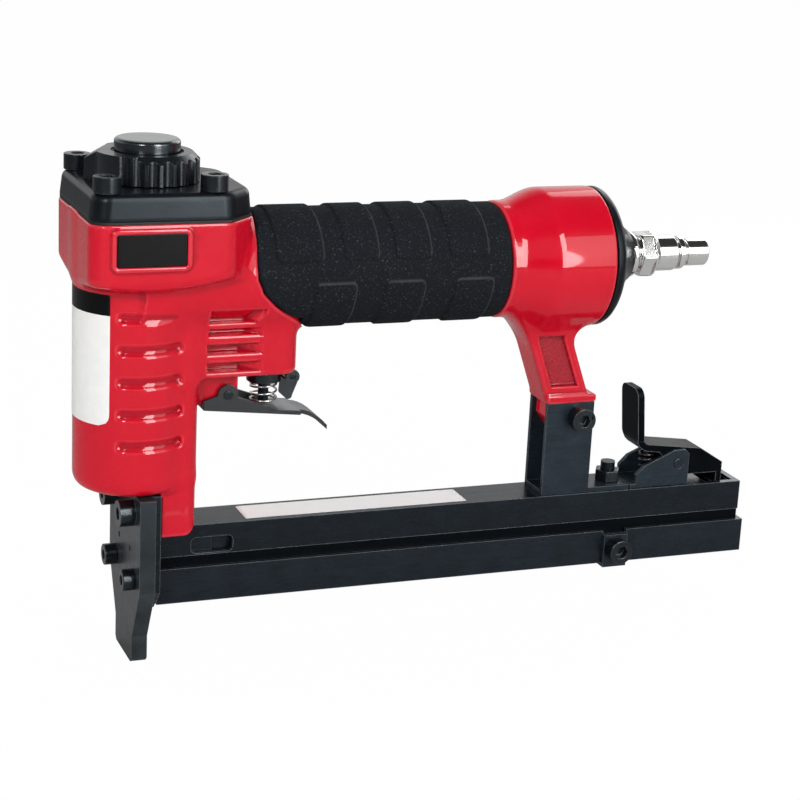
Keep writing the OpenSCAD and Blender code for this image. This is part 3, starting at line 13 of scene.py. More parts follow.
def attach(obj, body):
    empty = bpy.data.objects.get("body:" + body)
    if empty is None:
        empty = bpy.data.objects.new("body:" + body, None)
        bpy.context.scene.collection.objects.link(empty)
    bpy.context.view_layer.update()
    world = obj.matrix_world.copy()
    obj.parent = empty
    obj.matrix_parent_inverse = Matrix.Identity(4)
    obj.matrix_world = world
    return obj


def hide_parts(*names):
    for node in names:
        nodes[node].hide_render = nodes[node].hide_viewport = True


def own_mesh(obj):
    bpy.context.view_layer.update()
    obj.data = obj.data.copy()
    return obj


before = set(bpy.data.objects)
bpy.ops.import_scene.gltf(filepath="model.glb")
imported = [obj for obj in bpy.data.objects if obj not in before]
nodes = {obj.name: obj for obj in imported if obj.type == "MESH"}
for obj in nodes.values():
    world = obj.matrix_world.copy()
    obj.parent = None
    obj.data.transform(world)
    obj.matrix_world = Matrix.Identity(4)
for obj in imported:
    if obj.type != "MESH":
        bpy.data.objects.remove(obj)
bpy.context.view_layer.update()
MM = 0.001

# Sizes in millimetres that the pieces share with the CAD source

HANDLE_Z = 126.7
TUBE_R = 17.0
GRIP_R = 19.8
GRIP_BORE_R = 17.1
GRIP_REAR_X = 120.8
GRIP_GAP = 0.4
BARREL_R = 18.5
BARREL_FOOT_Z = 58.0
BACK_X = 18.5
BACK_HALF_W = 14.4
BACK_ROUND = 4.5
HEAD_HALF_W = 25.5
HEAD_TOP_Z = 146.6
HEAD_REAR_X = 33.2
FLARE_FOOT_R = 17.5
FLARE_FOOT_Z = 124.0
FLARE_SLOPE = 3.4
PLATE_X = -0.6
PLATE_Z = 138.8
FRAME_Y = 26.2
SCREW_XS = (-13.2, 19.7)
SCREW_Y = 20.0
CAP_TOP_Z = 155.6
SPIGOT_X = 4.0
RETAINER_TOP_Z = 168.3
VALVE_X = 43.5
VALVE_REAR_X = 51.4
VALVE_HALF_W = 12.5
VALVE_FOOT_Z = 94.0
SLOT_FRONT_X = 21.0
SLOT_REAR_X = 38.4
TRIGGER_PIN = (29.6, 87.0)
LOCK_PIN = (52.4, 90.8)
BELL_FRONT_X = 121.1
BELL_REAR_X = 156.4
LEG_HALF_W = 7.2
LEG_FOOT_X = 144.0
PANEL_HALF_W = 5.5
BRACKET_SCREW = (154.4, 71.8)
SKIRT_TOP_Z = 34.1


# Node helpers for materials


def add_node(tree, kind, **values):
    node = tree.nodes.new(kind)
    for name, value in values.items():
        setattr(node, name, value)
    return node


def object_coords(tree):
    return add_node(tree, "ShaderNodeTexCoord").outputs["Object"]


def stretched(tree, vector, scale):
    mapping = add_node(tree, "ShaderNodeMapping")
    mapping.inputs["Scale"].default_value = scale
    tree.links.new(vector, mapping.inputs["Vector"])
    return mapping.outputs["Vector"]


def noise(tree, vector, scale, detail=4.0, roughness=0.55):
    node = add_node(tree, "ShaderNodeTexNoise")
    node.inputs["Scale"].default_value = scale
    node.inputs["Detail"].default_value = detail
    node.inputs["Roughness"].default_value = roughness
    tree.links.new(vector, node.inputs["Vector"])
    return node.outputs["Fac"]


def ramp(tree, factor, stops):
    node = add_node(tree, "ShaderNodeValToRGB")
    while len(node.color_ramp.elements) < len(stops):
        node.color_ramp.elements.new(0.5)
    for element, (place, colour) in zip(node.color_ramp.elements, stops):
        element.position = place
        element.color = (*colour, 1.0)
    tree.links.new(factor, node.inputs["Fac"])
    return node.outputs["Color"]


def map_range(tree, value, from_low, from_high, to_low=0.0, to_high=1.0):
    node = add_node(tree, "ShaderNodeMapRange")
    node.inputs["From Min"].default_value = from_low
    node.inputs["From Max"].default_value = from_high
    node.inputs["To Min"].default_value = to_low
    node.inputs["To Max"].default_value = to_high
    tree.links.new(value, node.inputs["Value"])
    return node.outputs["Result"]


def spread(tree, factor, low, high):
    """A factor of nought to one, spread from low to high."""
    return map_range(tree, factor, 0.0, 1.0, low, high)


def math_node(tree, operation, a, b, c=0.5):
    node = add_node(tree, "ShaderNodeMath", operation=operation)
    for socket, value in zip(node.inputs, (a, b, c)):
        if isinstance(value, (int, float)):
            socket.default_value = value
        else:
            tree.links.new(value, socket)
    return node.outputs["Value"]


def bump(tree, height, strength, distance, below=None):
    node = add_node(tree, "ShaderNodeBump")
    node.inputs["Strength"].default_value = strength
    node.inputs["Distance"].default_value = distance
    tree.links.new(height, node.inputs["Height"])
    if below is not None:
        tree.links.new(below, node.inputs["Normal"])
    return node.outputs["Normal"]


def new_material(name, **constants):
    """A material whose even values are set on the shader itself."""
    mat = bpy.data.materials.new(name)
    mat.use_nodes = True
    tree = mat.node_tree
    shader = tree.nodes["Principled BSDF"]
    for key, value in constants.items():
        socket = shader.inputs[key.replace("_", " ")]
        socket.default_value = (*value, 1.0) if isinstance(value, tuple) else value
    return mat, tree, shader


def split_xyz(tree, vector):
    node = add_node(tree, "ShaderNodeSeparateXYZ")
    tree.links.new(vector, node.inputs["Vector"])
    return node.outputs["X"], node.outputs["Y"], node.outputs["Z"]


def edge_wear_and_sheen(tree, radius):
    """High where the surface turns sharply within the radius."""
    soft = add_node(tree, "ShaderNodeBevel", samples=6)
    soft.inputs["Radius"].default_value = radius
    facing = add_node(tree, "ShaderNodeVectorMath", operation="DOT_PRODUCT")
    tree.links.new(soft.outputs["Normal"], facing.inputs[0])
    tree.links.new(add_node(tree, "ShaderNodeNewGeometry").outputs["True Normal"], facing.inputs[1])
    return map_range(tree, facing.outputs["Value"], 0.98, 0.8)


def grey_ramp(tree, factor, stops):
    return ramp(tree, factor, [(place, (value, value, value)) for place, value in stops])


def blend(tree, factor, low, high):
    """A mix of two colours, each a tuple or an output of another node."""
    node = add_node(tree, "ShaderNodeMix", data_type="RGBA")
    tree.links.new(factor, node.inputs["Factor"])
    for key, value in (("A", low), ("B", high)):
        if isinstance(value, tuple):
            node.inputs[key].default_value = (*value, 1.0)
        else:
            tree.links.new(value, node.inputs[key])
    return node.outputs["Result"]


# Materials


# Recessed floor of the leg's panels: Y from and to, top and front in millimetres
PANEL_FLOOR_Y = (5.2, 5.8)
PANEL_FLOOR_TOP_Z = 103.5
PANEL_FLOOR_FRONT_X = 130.0


def panel_mask(tree, place):
    """One on the recessed floor of the leg's two panels."""
    x, y, z = split_xyz(tree, place)
    side = math_node(tree, "ABSOLUTE", y, 0.0)
    floor = math_node(tree, "LESS_THAN", side, PANEL_FLOOR_Y[1] * MM)
    wall = math_node(tree, "GREATER_THAN", side, PANEL_FLOOR_Y[0] * MM)
    low = math_node(tree, "LESS_THAN", z, PANEL_FLOOR_TOP_Z * MM)
    rear = math_node(tree, "GREATER_THAN", x, PANEL_FLOOR_FRONT_X * MM)
    return math_node(tree, "MULTIPLY", math_node(tree, "MULTIPLY", floor, wall),
                     math_node(tree, "MULTIPLY", low, rear))


def red_paint():
    """Glossy lacquer with painted shade in the tight hollows and a painted highlight on tight rounds, with
    pebbled leg panels.
    """
    mat, tree, shader = new_material("red_lacquer", Specular_IOR_Level=0.04, Coat_Weight=0.7,
                                     Coat_Roughness=0.03)
    place = object_coords(tree)
    tone = noise(tree, place, 55.0, 3.0)
    colour = ramp(tree, tone, [(0.3, (0.6, 0.003, 0.018)), (0.7, (0.66, 0.004, 0.022))])
    bend = add_node(tree, "ShaderNodeAttribute", attribute_name="bend").outputs["Fac"]
    # Painted shade: the lacquer darkened where the surface bends into tight hollows.
    hollow_painted_shade = grey_ramp(tree, bend, [(0.2, 0.55), (0.44, 0.0)])
    colour = blend(tree, hollow_painted_shade, colour, (0.26, 0.002, 0.01))
    # Painted highlight: the lacquer paled along tight rounds.
    crest_painted_highlight = grey_ramp(tree, bend, [(0.72, 0.0), (0.98, 0.24)])
    colour = blend(tree, crest_painted_highlight, colour, (0.85, 0.12, 0.15))
    rough = spread(tree, noise(tree, place, 160.0, 5.0), 0.2, 0.34)
    tree.links.new(rough, shader.inputs["Roughness"])
    peel = bump(tree, noise(tree, place, 620.0, 2.0), 0.035, 0.0004)
    mask = panel_mask(tree, place)
    # Darker, greyer red on the panel floors: the pebbled finish's own tone, with painted shade of the
    # recess.
    tree.links.new(blend(tree, mask, colour, (0.42, 0.016, 0.03)), shader.inputs["Base Color"])
    pebble = math_node(tree, "MULTIPLY", noise(tree, place, 1500.0, 2.0), mask)
    tree.links.new(bump(tree, pebble, 1.0, 0.0009, peel), shader.inputs["Normal"])
    return mat


def satin_black(name, tint, rough, grain, speck=0.0, gloss=0.3, wear_and_sheen=0.0, shade_below=None):
    """Painted or blackened metal with a fine grain, uneven gloss and edges lightened by wear and a painted
    highlight; painted shade below a given height.
    """
    mat, tree, shader = new_material(name, Specular_IOR_Level=gloss, Specular_Tint=(0.8, 0.92, 1.0))
    place = object_coords(tree)
    dark = tuple(0.7 * t for t in tint)
    light = tuple(1.4 * t + speck for t in tint)
    colour = ramp(tree, noise(tree, place, 130.0, 6.0, 0.65), [(0.3, dark), (0.75, light)])
    if wear_and_sheen:
        # Lighter edges: partly rubbed wear, partly a painted highlight.
        patches = spread(tree, noise(tree, place, 210.0, 5.0, 0.7), 0.0, 2.0 * wear_and_sheen)
        rubbed_and_sheen = math_node(tree, "MULTIPLY", edge_wear_and_sheen(tree, 0.0005), patches)
        colour = blend(tree, rubbed_and_sheen, colour, (0.2, 0.22, 0.24))
    if shade_below:
        # Painted shade: darker and less glossy below the given height, the magazine's shadowed skirt.
        height = split_xyz(tree, place)[2]
        lower = math_node(tree, "LESS_THAN", height, shade_below)
        colour = blend(tree, lower, colour, tuple(0.4 * t for t in tint))
        tree.links.new(spread(tree, lower, gloss, 0.25 * gloss), shader.inputs["Specular IOR Level"])
    tree.links.new(colour, shader.inputs["Base Color"])
    streak = noise(tree, stretched(tree, place, (0.25, 1.0, 1.0)), 420.0, 5.0, 0.6)
    tree.links.new(spread(tree, streak, rough - 0.09, rough + 0.12), shader.inputs["Roughness"])
    tree.links.new(bump(tree, noise(tree, place, grain, 3.0), 0.06, 0.0003), shader.inputs["Normal"])
    return mat


def moulded_black(name, gloss, rough, painted_sheen_above=None):
    """Hard black moulding; a height gives it a top face painted lighter grey, a painted reflection."""
    mat, tree, shader = new_material(name, Specular_IOR_Level=gloss, Specular_Tint=(0.85, 0.94, 1.0))
    place = object_coords(tree)
    colour = ramp(tree, noise(tree, place, 300.0, 4.0),
                  [(0.3, (0.004, 0.0052, 0.0068)), (0.75, (0.008, 0.0098, 0.0122))])
    if painted_sheen_above:
        # Painted reflection: the top face made lighter grey.
        height = split_xyz(tree, place)[2]
        top = math_node(tree, "GREATER_THAN", height, painted_sheen_above)
        colour = blend(tree, top, colour, (0.1, 0.112, 0.109))
    tree.links.new(colour, shader.inputs["Base Color"])
    gloss_patches = spread(tree, noise(tree, place, 220.0), rough - 0.06, rough + 0.06)
    tree.links.new(gloss_patches, shader.inputs["Roughness"])
    tree.links.new(bump(tree, noise(tree, place, 2200.0, 2.0), 0.12, 0.0002), shader.inputs["Normal"])
    return mat


def grip_rubber():
    """Grainy rubber with pale specks, and pad edges lightened by wear and a painted highlight."""
    mat, tree, shader = new_material("grip_rubber", Specular_IOR_Level=0.08)
    place = object_coords(tree)
    grain = noise(tree, place, 1500.0, 3.0, 0.7)
    colour = ramp(tree, grain, [(0.0, (0.0042, 0.0056, 0.0078)), (0.58, (0.0085, 0.0108, 0.0142)),
                                (0.65, (0.03, 0.034, 0.038)), (0.74, (0.11, 0.115, 0.12))])
    # Pad edges lightened: partly wear, partly a painted highlight on the upper and rear edges.
    rubbed_and_sheen = add_node(tree, "ShaderNodeAttribute", attribute_name="pad_wear_and_sheen").outputs["Fac"]
    patchy = math_node(tree, "MULTIPLY", rubbed_and_sheen, spread(tree, noise(tree, place, 260.0), 0.2, 1.0))
    tree.links.new(blend(tree, patchy, colour, (0.075, 0.085, 0.09)), shader.inputs["Base Color"])
    tree.links.new(spread(tree, noise(tree, place, 90.0), 0.72, 0.95), shader.inputs["Roughness"])
    coarse = bump(tree, noise(tree, place, 700.0, 3.0), 0.3, 0.0005)
    tree.links.new(bump(tree, grain, 0.55, 0.0005, coarse), shader.inputs["Normal"])
    return mat


def seal_rubber():
    """Smooth rubber of the rings, the gasket and the bumper."""
    mat, tree, shader = new_material("seal_rubber", Specular_IOR_Level=0.3)
    place = object_coords(tree)
    colour = ramp(tree, noise(tree, place, 400.0),
                  [(0.3, (0.009, 0.009, 0.009)), (0.7, (0.016, 0.016, 0.016))])
    tree.links.new(colour, shader.inputs["Base Color"])
    tree.links.new(spread(tree, noise(tree, place, 260.0), 0.5, 0.7), shader.inputs["Roughness"])
    tree.links.new(bump(tree, noise(tree, place, 1800.0), 0.1, 0.0002), shader.inputs["Normal"])
    return mat


def bare_metal(name, colour_low, colour_high, rough, stretch):
    """Metal with fine tool lines that run along the stretched axis."""
    mat, tree, shader = new_material(name, Metallic=1.0)
    place = object_coords(tree)
    lines = noise(tree, stretched(tree, place, stretch), 700.0, 5.0, 0.6)
    tree.links.new(ramp(tree, lines, [(0.3, colour_low), (0.75, colour_high)]), shader.inputs["Base Color"])
    tree.links.new(spread(tree, lines, rough * 0.7, rough * 1.5), shader.inputs["Roughness"])
    tree.links.new(bump(tree, lines, 0.05, 0.0002), shader.inputs["Normal"])
    return mat


# Finger tail of the trigger as X in millimetres: where the painted highlight begins and where it fades again
TAIL_SHEEN_X = (46.2, 47.5)
TAIL_FADE_X = (52.0, 58.5)


def trigger_steel():
    """Black at the pivot, with a painted highlight of pale grey metal on the upward faces of the finger
    tail.
    """
    mat, tree, shader = new_material("trigger_steel")
    place = object_coords(tree)
    blur = spread(tree, noise(tree, place, 350.0), -0.0012, 0.0012)
    edge = math_node(tree, "ADD", split_xyz(tree, place)[0], blur)
    # Painted highlight along the tail's upward faces, fading toward the tip.
    tail_sheen = map_range(tree, edge, TAIL_SHEEN_X[0] * MM, TAIL_SHEEN_X[1] * MM)
    fade = map_range(tree, edge, TAIL_FADE_X[0] * MM, TAIL_FADE_X[1] * MM, 1.0, 0.2)
    upward = split_xyz(tree, add_node(tree, "ShaderNodeNewGeometry").outputs["Normal"])[2]
    top = math_node(tree, "MULTIPLY", math_node(tree, "GREATER_THAN", upward, 0.45), fade)
    tail_sheen = math_node(tree, "MULTIPLY", tail_sheen, top)
    tail_sheen = math_node(tree, "MULTIPLY", tail_sheen, spread(tree, noise(tree, place, 420.0, 4.0), 0.45, 1.0))
    colour = ramp(tree, tail_sheen, [(0.0, (0.006, 0.0075, 0.0095)), (1.0, (0.34, 0.36, 0.37))])
    tree.links.new(colour, shader.inputs["Base Color"])
    tree.links.new(math_node(tree, "MULTIPLY", tail_sheen, 0.65), shader.inputs["Metallic"])
    tree.links.new(spread(tree, noise(tree, place, 300.0, 5.0), 0.28, 0.46), shader.inputs["Roughness"])
    tree.links.new(bump(tree, noise(tree, place, 1400.0), 0.07, 0.0003), shader.inputs["Normal"])
    return mat


def label_film(name, colour, rough):
    """Printed film left plain, with a faint unevenness."""
    mat, tree, shader = new_material(name, Specular_IOR_Level=0.15)
    place = object_coords(tree)
    light = tuple(min(1.0, 1.06 * c) for c in colour)
    tree.links.new(ramp(tree, noise(tree, place, 240.0, 5.0), [(0.3, colour), (0.7, light)]),
                   shader.inputs["Base Color"])
    gloss_patches = spread(tree, noise(tree, place, 320.0), rough - 0.06, rough + 0.08)
    tree.links.new(gloss_patches, shader.inputs["Roughness"])
    tree.links.new(bump(tree, noise(tree, place, 900.0), 0.03, 0.0002), shader.inputs["Normal"])
    return mat


RED = red_paint()
BLACK_CAST = satin_black("black_cast_paint", (0.0042, 0.0058, 0.0078), 0.3, 900.0, gloss=0.2, wear_and_sheen=0.15)
BLACK_STEEL = satin_black("black_oxide", (0.0064, 0.0098, 0.0146), 0.27, 1600.0, gloss=0.27, wear_and_sheen=0.8)
BLUED_STEEL = satin_black("blued_sheet", (0.0105, 0.0175, 0.025), 0.26, 1300.0, 0.003, gloss=0.3, wear_and_sheen=0.8)
# Painted shade: a darker, nearly unglossy copy of the black oxide for the latch lever.
SHADED_LEVER = satin_black("lever_painted_shade", (0.0024, 0.0032, 0.0046), 0.3, 1600.0, gloss=0.03, wear_and_sheen=0.9)
BLACK_MAGAZINE = satin_black("magazine_oxide", (0.0042, 0.0066, 0.0102), 0.25, 1600.0, gloss=0.25, wear_and_sheen=0.9,
                             shade_below=SKIRT_TOP_Z * MM)
BLACK_SCREW = satin_black("screw_oxide", (0.005, 0.0065, 0.0085), 0.22, 1600.0, gloss=0.5, wear_and_sheen=0.6)
GREY_STEEL = satin_black("worn_oxide", (0.016, 0.021, 0.024), 0.3, 1100.0, 0.006, gloss=0.42, wear_and_sheen=0.5)
BLACK_PLASTIC = moulded_black("moulded_black", 0.5, 0.26)
RETAINER = moulded_black("disc_painted_sheen", 1.0, 0.17, RETAINER_TOP_Z * MM)
GRIP = grip_rubber()
SEAL = seal_rubber()
STEEL = bare_metal("ground_steel", (0.42, 0.42, 0.41), (0.6, 0.6, 0.59), 0.26, (0.2, 1.0, 1.0))
# Painted shade: a darkened copy of the steel for the latch spring, which sits in shadow.
SHADED_SPRING = bare_metal("spring_painted_shade", (0.07, 0.07, 0.075), (0.13, 0.13, 0.135), 0.3, (1.0, 1.0, 1.0))
ALLOY = bare_metal("turned_alloy", (0.66, 0.66, 0.65), (0.78, 0.78, 0.77), 0.3, (1.0, 1.0, 4.0))
CHROME = bare_metal("bright_plating", (0.8, 0.795, 0.78), (0.9, 0.895, 0.88), 0.07, (6.0, 1.0, 1.0))
TRIGGER = trigger_steel()
WHITE_FILM = label_film("white_film", (0.89, 0.89, 0.87), 0.36)
PALE_FILM = label_film("pale_film", (0.96, 0.985, 0.98), 0.6)
BLACK_FILM = label_film("black_film", (0.0022, 0.0022, 0.0025), 0.3)


# Distance fields: smooth unions and cuts give the rounds of a casting


def smin(a, b, k):
    """Smaller of two fields, blended over a width of k."""
    h = np.clip(0.5 + 0.5 * (b - a) / k, 0.0, 1.0)
    return b + (a - b) * h - k * h * (1.0 - h)


def smax(a, b, k):
    """Larger of two fields, blended over a width of k."""
    return -smin(-a, -b, k)


def corner(a, b, r):
    """Distance to a corner where a and b are below zero inside, with a round of radius r."""
    u, v = a + r, b + r
    return np.hypot(np.maximum(u, 0), np.maximum(v, 0)) + np.minimum(np.maximum(u, v), 0) - r


def biggest(*parts):
    out = parts[0]
    for p in parts[1:]:
        out = np.maximum(out, p)
    return out


def smallest(*parts):
    out = parts[0]
    for p in parts[1:]:
        out = np.minimum(out, p)
    return out


# Front edge of the grip as X against height, and its slope
EDGE_Z = np.array([60.0, 100.0, 107.0, 111.0, 115.5, 118.5, 122.3, 127.0, 133.0, 140.0, 147.0, 200.0])
EDGE_X = np.array([114.0, 65.0, 56.0, 50.7, 44.9, 41.2, 37.4, 35.2, 34.8, 35.4, 37.0, 40.0])


def grip_edge(x, z):
    """Distance behind the grip's front edge."""
    at = np.interp(z, EDGE_Z, EDGE_X)
    slope = (np.interp(z + 2.0, EDGE_Z, EDGE_X) - np.interp(z - 2.0, EDGE_Z, EDGE_X)) / 4.0
    return (x - at) / np.sqrt(1.0 + slope * slope)


GROOVES = 5
GROOVE_TOP_Z = 116.0
GROOVE_PITCH = 10.2


def barrel_field(x, z, ay, r):
    """Round barrel with a squared back, a rounded foot and grooves on both sides."""
    back = np.maximum(corner(x - BACK_X, ay - BACK_HALF_W, BACK_ROUND), -x)
    plan = smin(r - BARREL_R, back, 2.0)
    body = np.maximum(smax(plan, BARREL_FOOT_Z - z, 5.0), z - HEAD_TOP_Z)
    for i in range(GROOVES):
        height = z - (GROOVE_TOP_Z - GROOVE_PITCH * i)
        groove = np.hypot(r - BARREL_R - 0.75, height) - 1.75
        groove = biggest(smax(groove, np.abs(x - 2.0) - 10.5, 2.0), 8.0 - ay)
        body = smax(body, -groove, 0.9)
    return body


def head_field(x, y, z, ay, r):
    """Chamfered head that flares from the barrel, with the raised frame on its near side."""
    plan = smax(corner(-x - 19.0, ay - HEAD_HALF_W, 6.0), x - HEAD_REAR_X, 2.0)
    plan = smax(plan, (x - 24.2 + ay - HEAD_HALF_W) * math.sqrt(0.5), 2.0)
    cone = (r - FLARE_FOOT_R - FLARE_SLOPE * (z - FLARE_FOOT_Z)) * 0.282
    head = smax(smax(plan, cone, 2.6), z - HEAD_TOP_Z, 0.8)
    frame_line = corner(np.abs(x - PLATE_X) - 11.6, np.abs(z - PLATE_Z) - 5.8, 1.6)
    rim = biggest(np.abs(frame_line) - 0.65, -y - FRAME_Y, y + 24.0)
    return smin(head, smax(rim, -y - FRAME_Y, 0.7), 0.7)


SLOTS = 3
SLOT_FOOT_Z = 97.7
SLOT_PITCH = 5.9


def valve_field(x, z, ay):
    """Valve housing with its slots, the trigger's lug and the lock finger's ear."""
    body = smax(np.maximum(corner(x - VALVE_REAR_X, ay - VALVE_HALF_W, 5.0), -x), VALVE_FOOT_Z - z, 2.2)
    body = np.maximum(body, z - HANDLE_Z)
    for i in range(SLOTS):
        height = np.abs(z - (SLOT_FOOT_Z + SLOT_PITCH * i)) - 1.5
        depth = np.interp(x, [SLOT_FRONT_X, 32.0, 38.3], [4.6, 4.2, 0.0])
        slot = biggest(height, VALVE_HALF_W - depth - ay, SLOT_FRONT_X - x, x - SLOT_REAR_X)
        body = smax(body, -slot, 0.9)
    lug = biggest(smax(x - 33.2, 84.4 - z, 1.5), ay - 5.5, z - 100.0, -x)
    pin_x, pin_z = LOCK_PIN
    web = biggest(50.2 - x, (x - 54.6) * 0.795 + (z - pin_z) * 0.606, pin_z - z, z - 95.0)
    ear = np.maximum(np.minimum(np.hypot(x - pin_x, z - pin_z) - 2.2, web), ay - 1.7)
    return smin(smin(body, lug, 1.2), ear, 0.5)


def leg_field(x, z, ay):
    """Leaning leg, and the distances to its front and rear faces."""
    # Each face by the unit normal of its lean
    front = (131.0 - x) * 0.9415 + (108.7 - z) * 0.3363
    rear = (x - 147.0) * 0.9378 + (z - 108.7) * 0.347
    leg = smax(smax(front, rear, 1.8), ay - LEG_HALF_W, 1.8)
    return biggest(leg, 77.35 - z, z - 116.0), front, rear


def rear_field(x, z, ay, rh):
    """Bell, leg with its panels, collar and the foot that sits in the bracket."""
    t = np.clip((x - 124.3) / 13.5, 0.0, 1.0)
    bell = (rh - 19.4 - 4.1 * t * t * (3.0 - 2.0 * t)) * 0.95
    bell = smax(smax(bell, BELL_FRONT_X - x, 0.8), x - BELL_REAR_X, 0.9)
    leg, front, rear = leg_field(x, z, ay)
    both = np.maximum(smin(bell, leg, 8.0), BELL_FRONT_X - x)
    panel = biggest(front + 3.2, rear + 3.2, 83.2 - z, z - 101.2, PANEL_HALF_W - ay)
    both = smax(both, -panel, 0.6)
    collar = smax(biggest(142.2 - x, x - 160.2, ay - 7.6), np.abs(z - 78.7) - 1.35, 0.8)
    foot = biggest(LEG_FOOT_X - x, x - 158.6, ay - 5.1, 65.35 - z, z - 79.0)
    foot = np.maximum(foot, (LEG_FOOT_X - x) * 0.819 + (71.35 - z) * 0.573)
    return smallest(smin(both, collar, 0.9), foot)


def nose_lug_field(x, z, ay):
    """Lug behind the driver guide; it sinks into the barrel's back toward its top."""
    sink = 0.15 * np.maximum(z - 63.0, 0.0)
    back = x - BACK_X + sink
    lug = smax(corner(back, 43.2 - z, BACK_ROUND), corner(back, ay - BACK_HALF_W + sink, BACK_ROUND), 1.2)
    lug = biggest(lug, 6.45 - x, z - 72.0)
    return np.maximum(lug, -np.maximum(ay - 8.4, z - 44.8))


def bores(x, y, z, ay, r, rh):
    """Cylinder, head valve, blade slot, air chamber, end cap, valve, screw and pin bores."""
    screws = [np.maximum(np.hypot(x - sx, ay - SCREW_Y) - 2.55, 135.3 - z) for sx in SCREW_XS]
    return smallest(
        # Liner, head valve and driver blade
        np.maximum(r - 15.8, 66.0 - z),
        np.maximum(r - 17.0, 128.0 - z),
        biggest(np.abs(x) - 0.75, ay - 6.5, z - 70.0),
        # Air chamber in the handle and seat of the end cap
        np.maximum(rh - 13.6, -x),
        np.maximum(rh - 20.0, 148.4 - x),
        # Trigger valve
        biggest(np.hypot(x - VALVE_X, y) - 5.1, z - HANDLE_Z, 90.0 - z),
        # Cap screws, trigger pin, lock pin, bracket screw, nose screws and a small hole in the lug
        *screws,
        np.maximum(np.hypot(x - TRIGGER_PIN[0], z - TRIGGER_PIN[1]) - 1.55, ay - 7.4),
        np.maximum(np.hypot(x - LOCK_PIN[0], z - LOCK_PIN[1]) - 1.05, ay - 3.4),
        np.maximum(np.hypot(x - BRACKET_SCREW[0], z - BRACKET_SCREW[1]) - 2.6, ay - LEG_HALF_W),
        np.maximum(np.hypot(ay - 10.8, z - 51.4) - 2.55, x - 14.5),
        np.maximum(np.hypot(y + 10.8, z - 50.5) - 1.6, 15.5 - x),
    )


def housing_field(p):
    """The whole one-piece casting."""
    x, y, z = p[:, 0], p[:, 1], p[:, 2]
    ay = np.abs(y)
    r = np.hypot(x, y)
    rh = np.hypot(y, z - HANDLE_Z)
    body = smin(barrel_field(x, z, ay, r), head_field(x, y, z, ay, r), 2.2)
    neck = np.maximum(smax(rh - 19.6, grip_edge(x, z) + 0.35, 0.9), -x)
    body = smin(body, neck, 3.0)
    body = smin(body, valve_field(x, z, ay), 3.5)
    ledge_y = np.interp(x, [33.0, 38.0], [10.6, 15.5])
    ledge = biggest(np.abs(z - 114.7) - 2.3, ledge_y - ay, SLOT_FRONT_X - x, x - SLOT_REAR_X)
    body = smax(body, -ledge, 0.9)
    body = smin(body, nose_lug_field(x, z, ay), 1.2)
    tube = biggest(rh - TUBE_R, -x, x - 150.0)
    body = smallest(body, tube, rear_field(x, z, ay, rh))
    return np.maximum(body, -bores(x, y, z, ay, r, rh))


def cap_field(p):
    """Cap with a slight draft and a rounded top edge, its spigot, exhaust tube and bores."""
    x, y, z = p[:, 0], p[:, 1], p[:, 2]
    ay = np.abs(y)
    r = np.hypot(x, y)
    rs = np.hypot(x - SPIGOT_X, y)
    draft = 0.1 * np.maximum(z - 148.4, 0.0)
    plan = smax(corner(-x - 18.7 + draft, ay - 25.2 + draft, 5.7), x - 32.9 + draft, 2.0)
    plan = smax(plan, (x - 24.1 + ay - 25.2) * math.sqrt(0.5) + draft, 2.0)
    body = np.maximum(smax(plan, z - CAP_TOP_Z, 2.4), 147.4 - z)
    body = np.minimum(body, biggest(rs - 7.0, z - 163.95, 150.0 - z))
    body = np.maximum(body, -np.maximum(r - 17.0, z - 151.0))
    body = np.minimum(body, biggest(r - 6.0, z - 152.0, 135.8 - z))
    cuts = smallest(
        np.maximum(r - 4.4, z - 151.2),
        biggest(rs - 4.4, z - 161.5, 150.8 - z),
        np.maximum(rs - 3.1, 158.7 - z),
        np.maximum(np.hypot(y, z - 157.9) - 2.0, np.abs(x - SPIGOT_X) - 14.0),
        np.maximum(np.hypot(x - SPIGOT_X, z - 157.9) - 2.0, ay - 14.0),
        *[np.hypot(x - sx, ay - SCREW_Y) - 2.6 for sx in SCREW_XS],
    )
    return np.maximum(body, -cuts)


# Raised pads on the grip as X from and to; upper pads wrap over the top, lower ones sit on each side
UPPER_PADS = [(41.0, 56.4), (63.1, 74.8), (80.4, 92.6), (98.8, 112.4)]
LOWER_PADS = [(53.8, 67.4), (77.0, 90.6), (100.7, 114.3)]
PAD_RISE = 0.7


def pad_distance(x, y, z):
    """Distance along the sleeve to the nearest pad's outline, below zero on a pad."""
    arc = np.arctan2(z - HANDLE_Z, np.abs(y)) * GRIP_R
    pad = np.full_like(x, 9.0)
    for x0, x1 in UPPER_PADS:
        pad = np.minimum(pad, corner(np.abs(x - (x0 + x1) / 2) - (x1 - x0) / 2, 5.6 - arc, 2.0))
    for x0, x1 in LOWER_PADS:
        along = np.abs(x - (x0 + x1) / 2) - (x1 - x0) / 2
        pad = np.minimum(pad, corner(along, np.abs(arc + 13.2) - 11.6, 2.0))
    return pad


def grip_field(p):
    """Sleeve with raised pads, cut away where the valve housing passes under it."""
    x, y, z = p[:, 0], p[:, 1], p[:, 2]
    ay = np.abs(y)
    rh = np.hypot(y, z - HANDLE_Z)
    t = np.clip(0.5 - pad_distance(x, y, z), 0.0, 1.0)
    outer = rh - (GRIP_R - PAD_RISE) - PAD_RISE * t * t * (3.0 - 2.0 * t)
    sleeve = smax(outer, -grip_edge(x, z), 1.2)
    sleeve = smax(sleeve, x - GRIP_REAR_X, 1.2)
    valve_clear = biggest(x - VALVE_REAR_X - GRIP_GAP, ay - VALVE_HALF_W - GRIP_GAP, z - HANDLE_Z)
    return biggest(sleeve, GRIP_BORE_R - rh, -valve_clear)


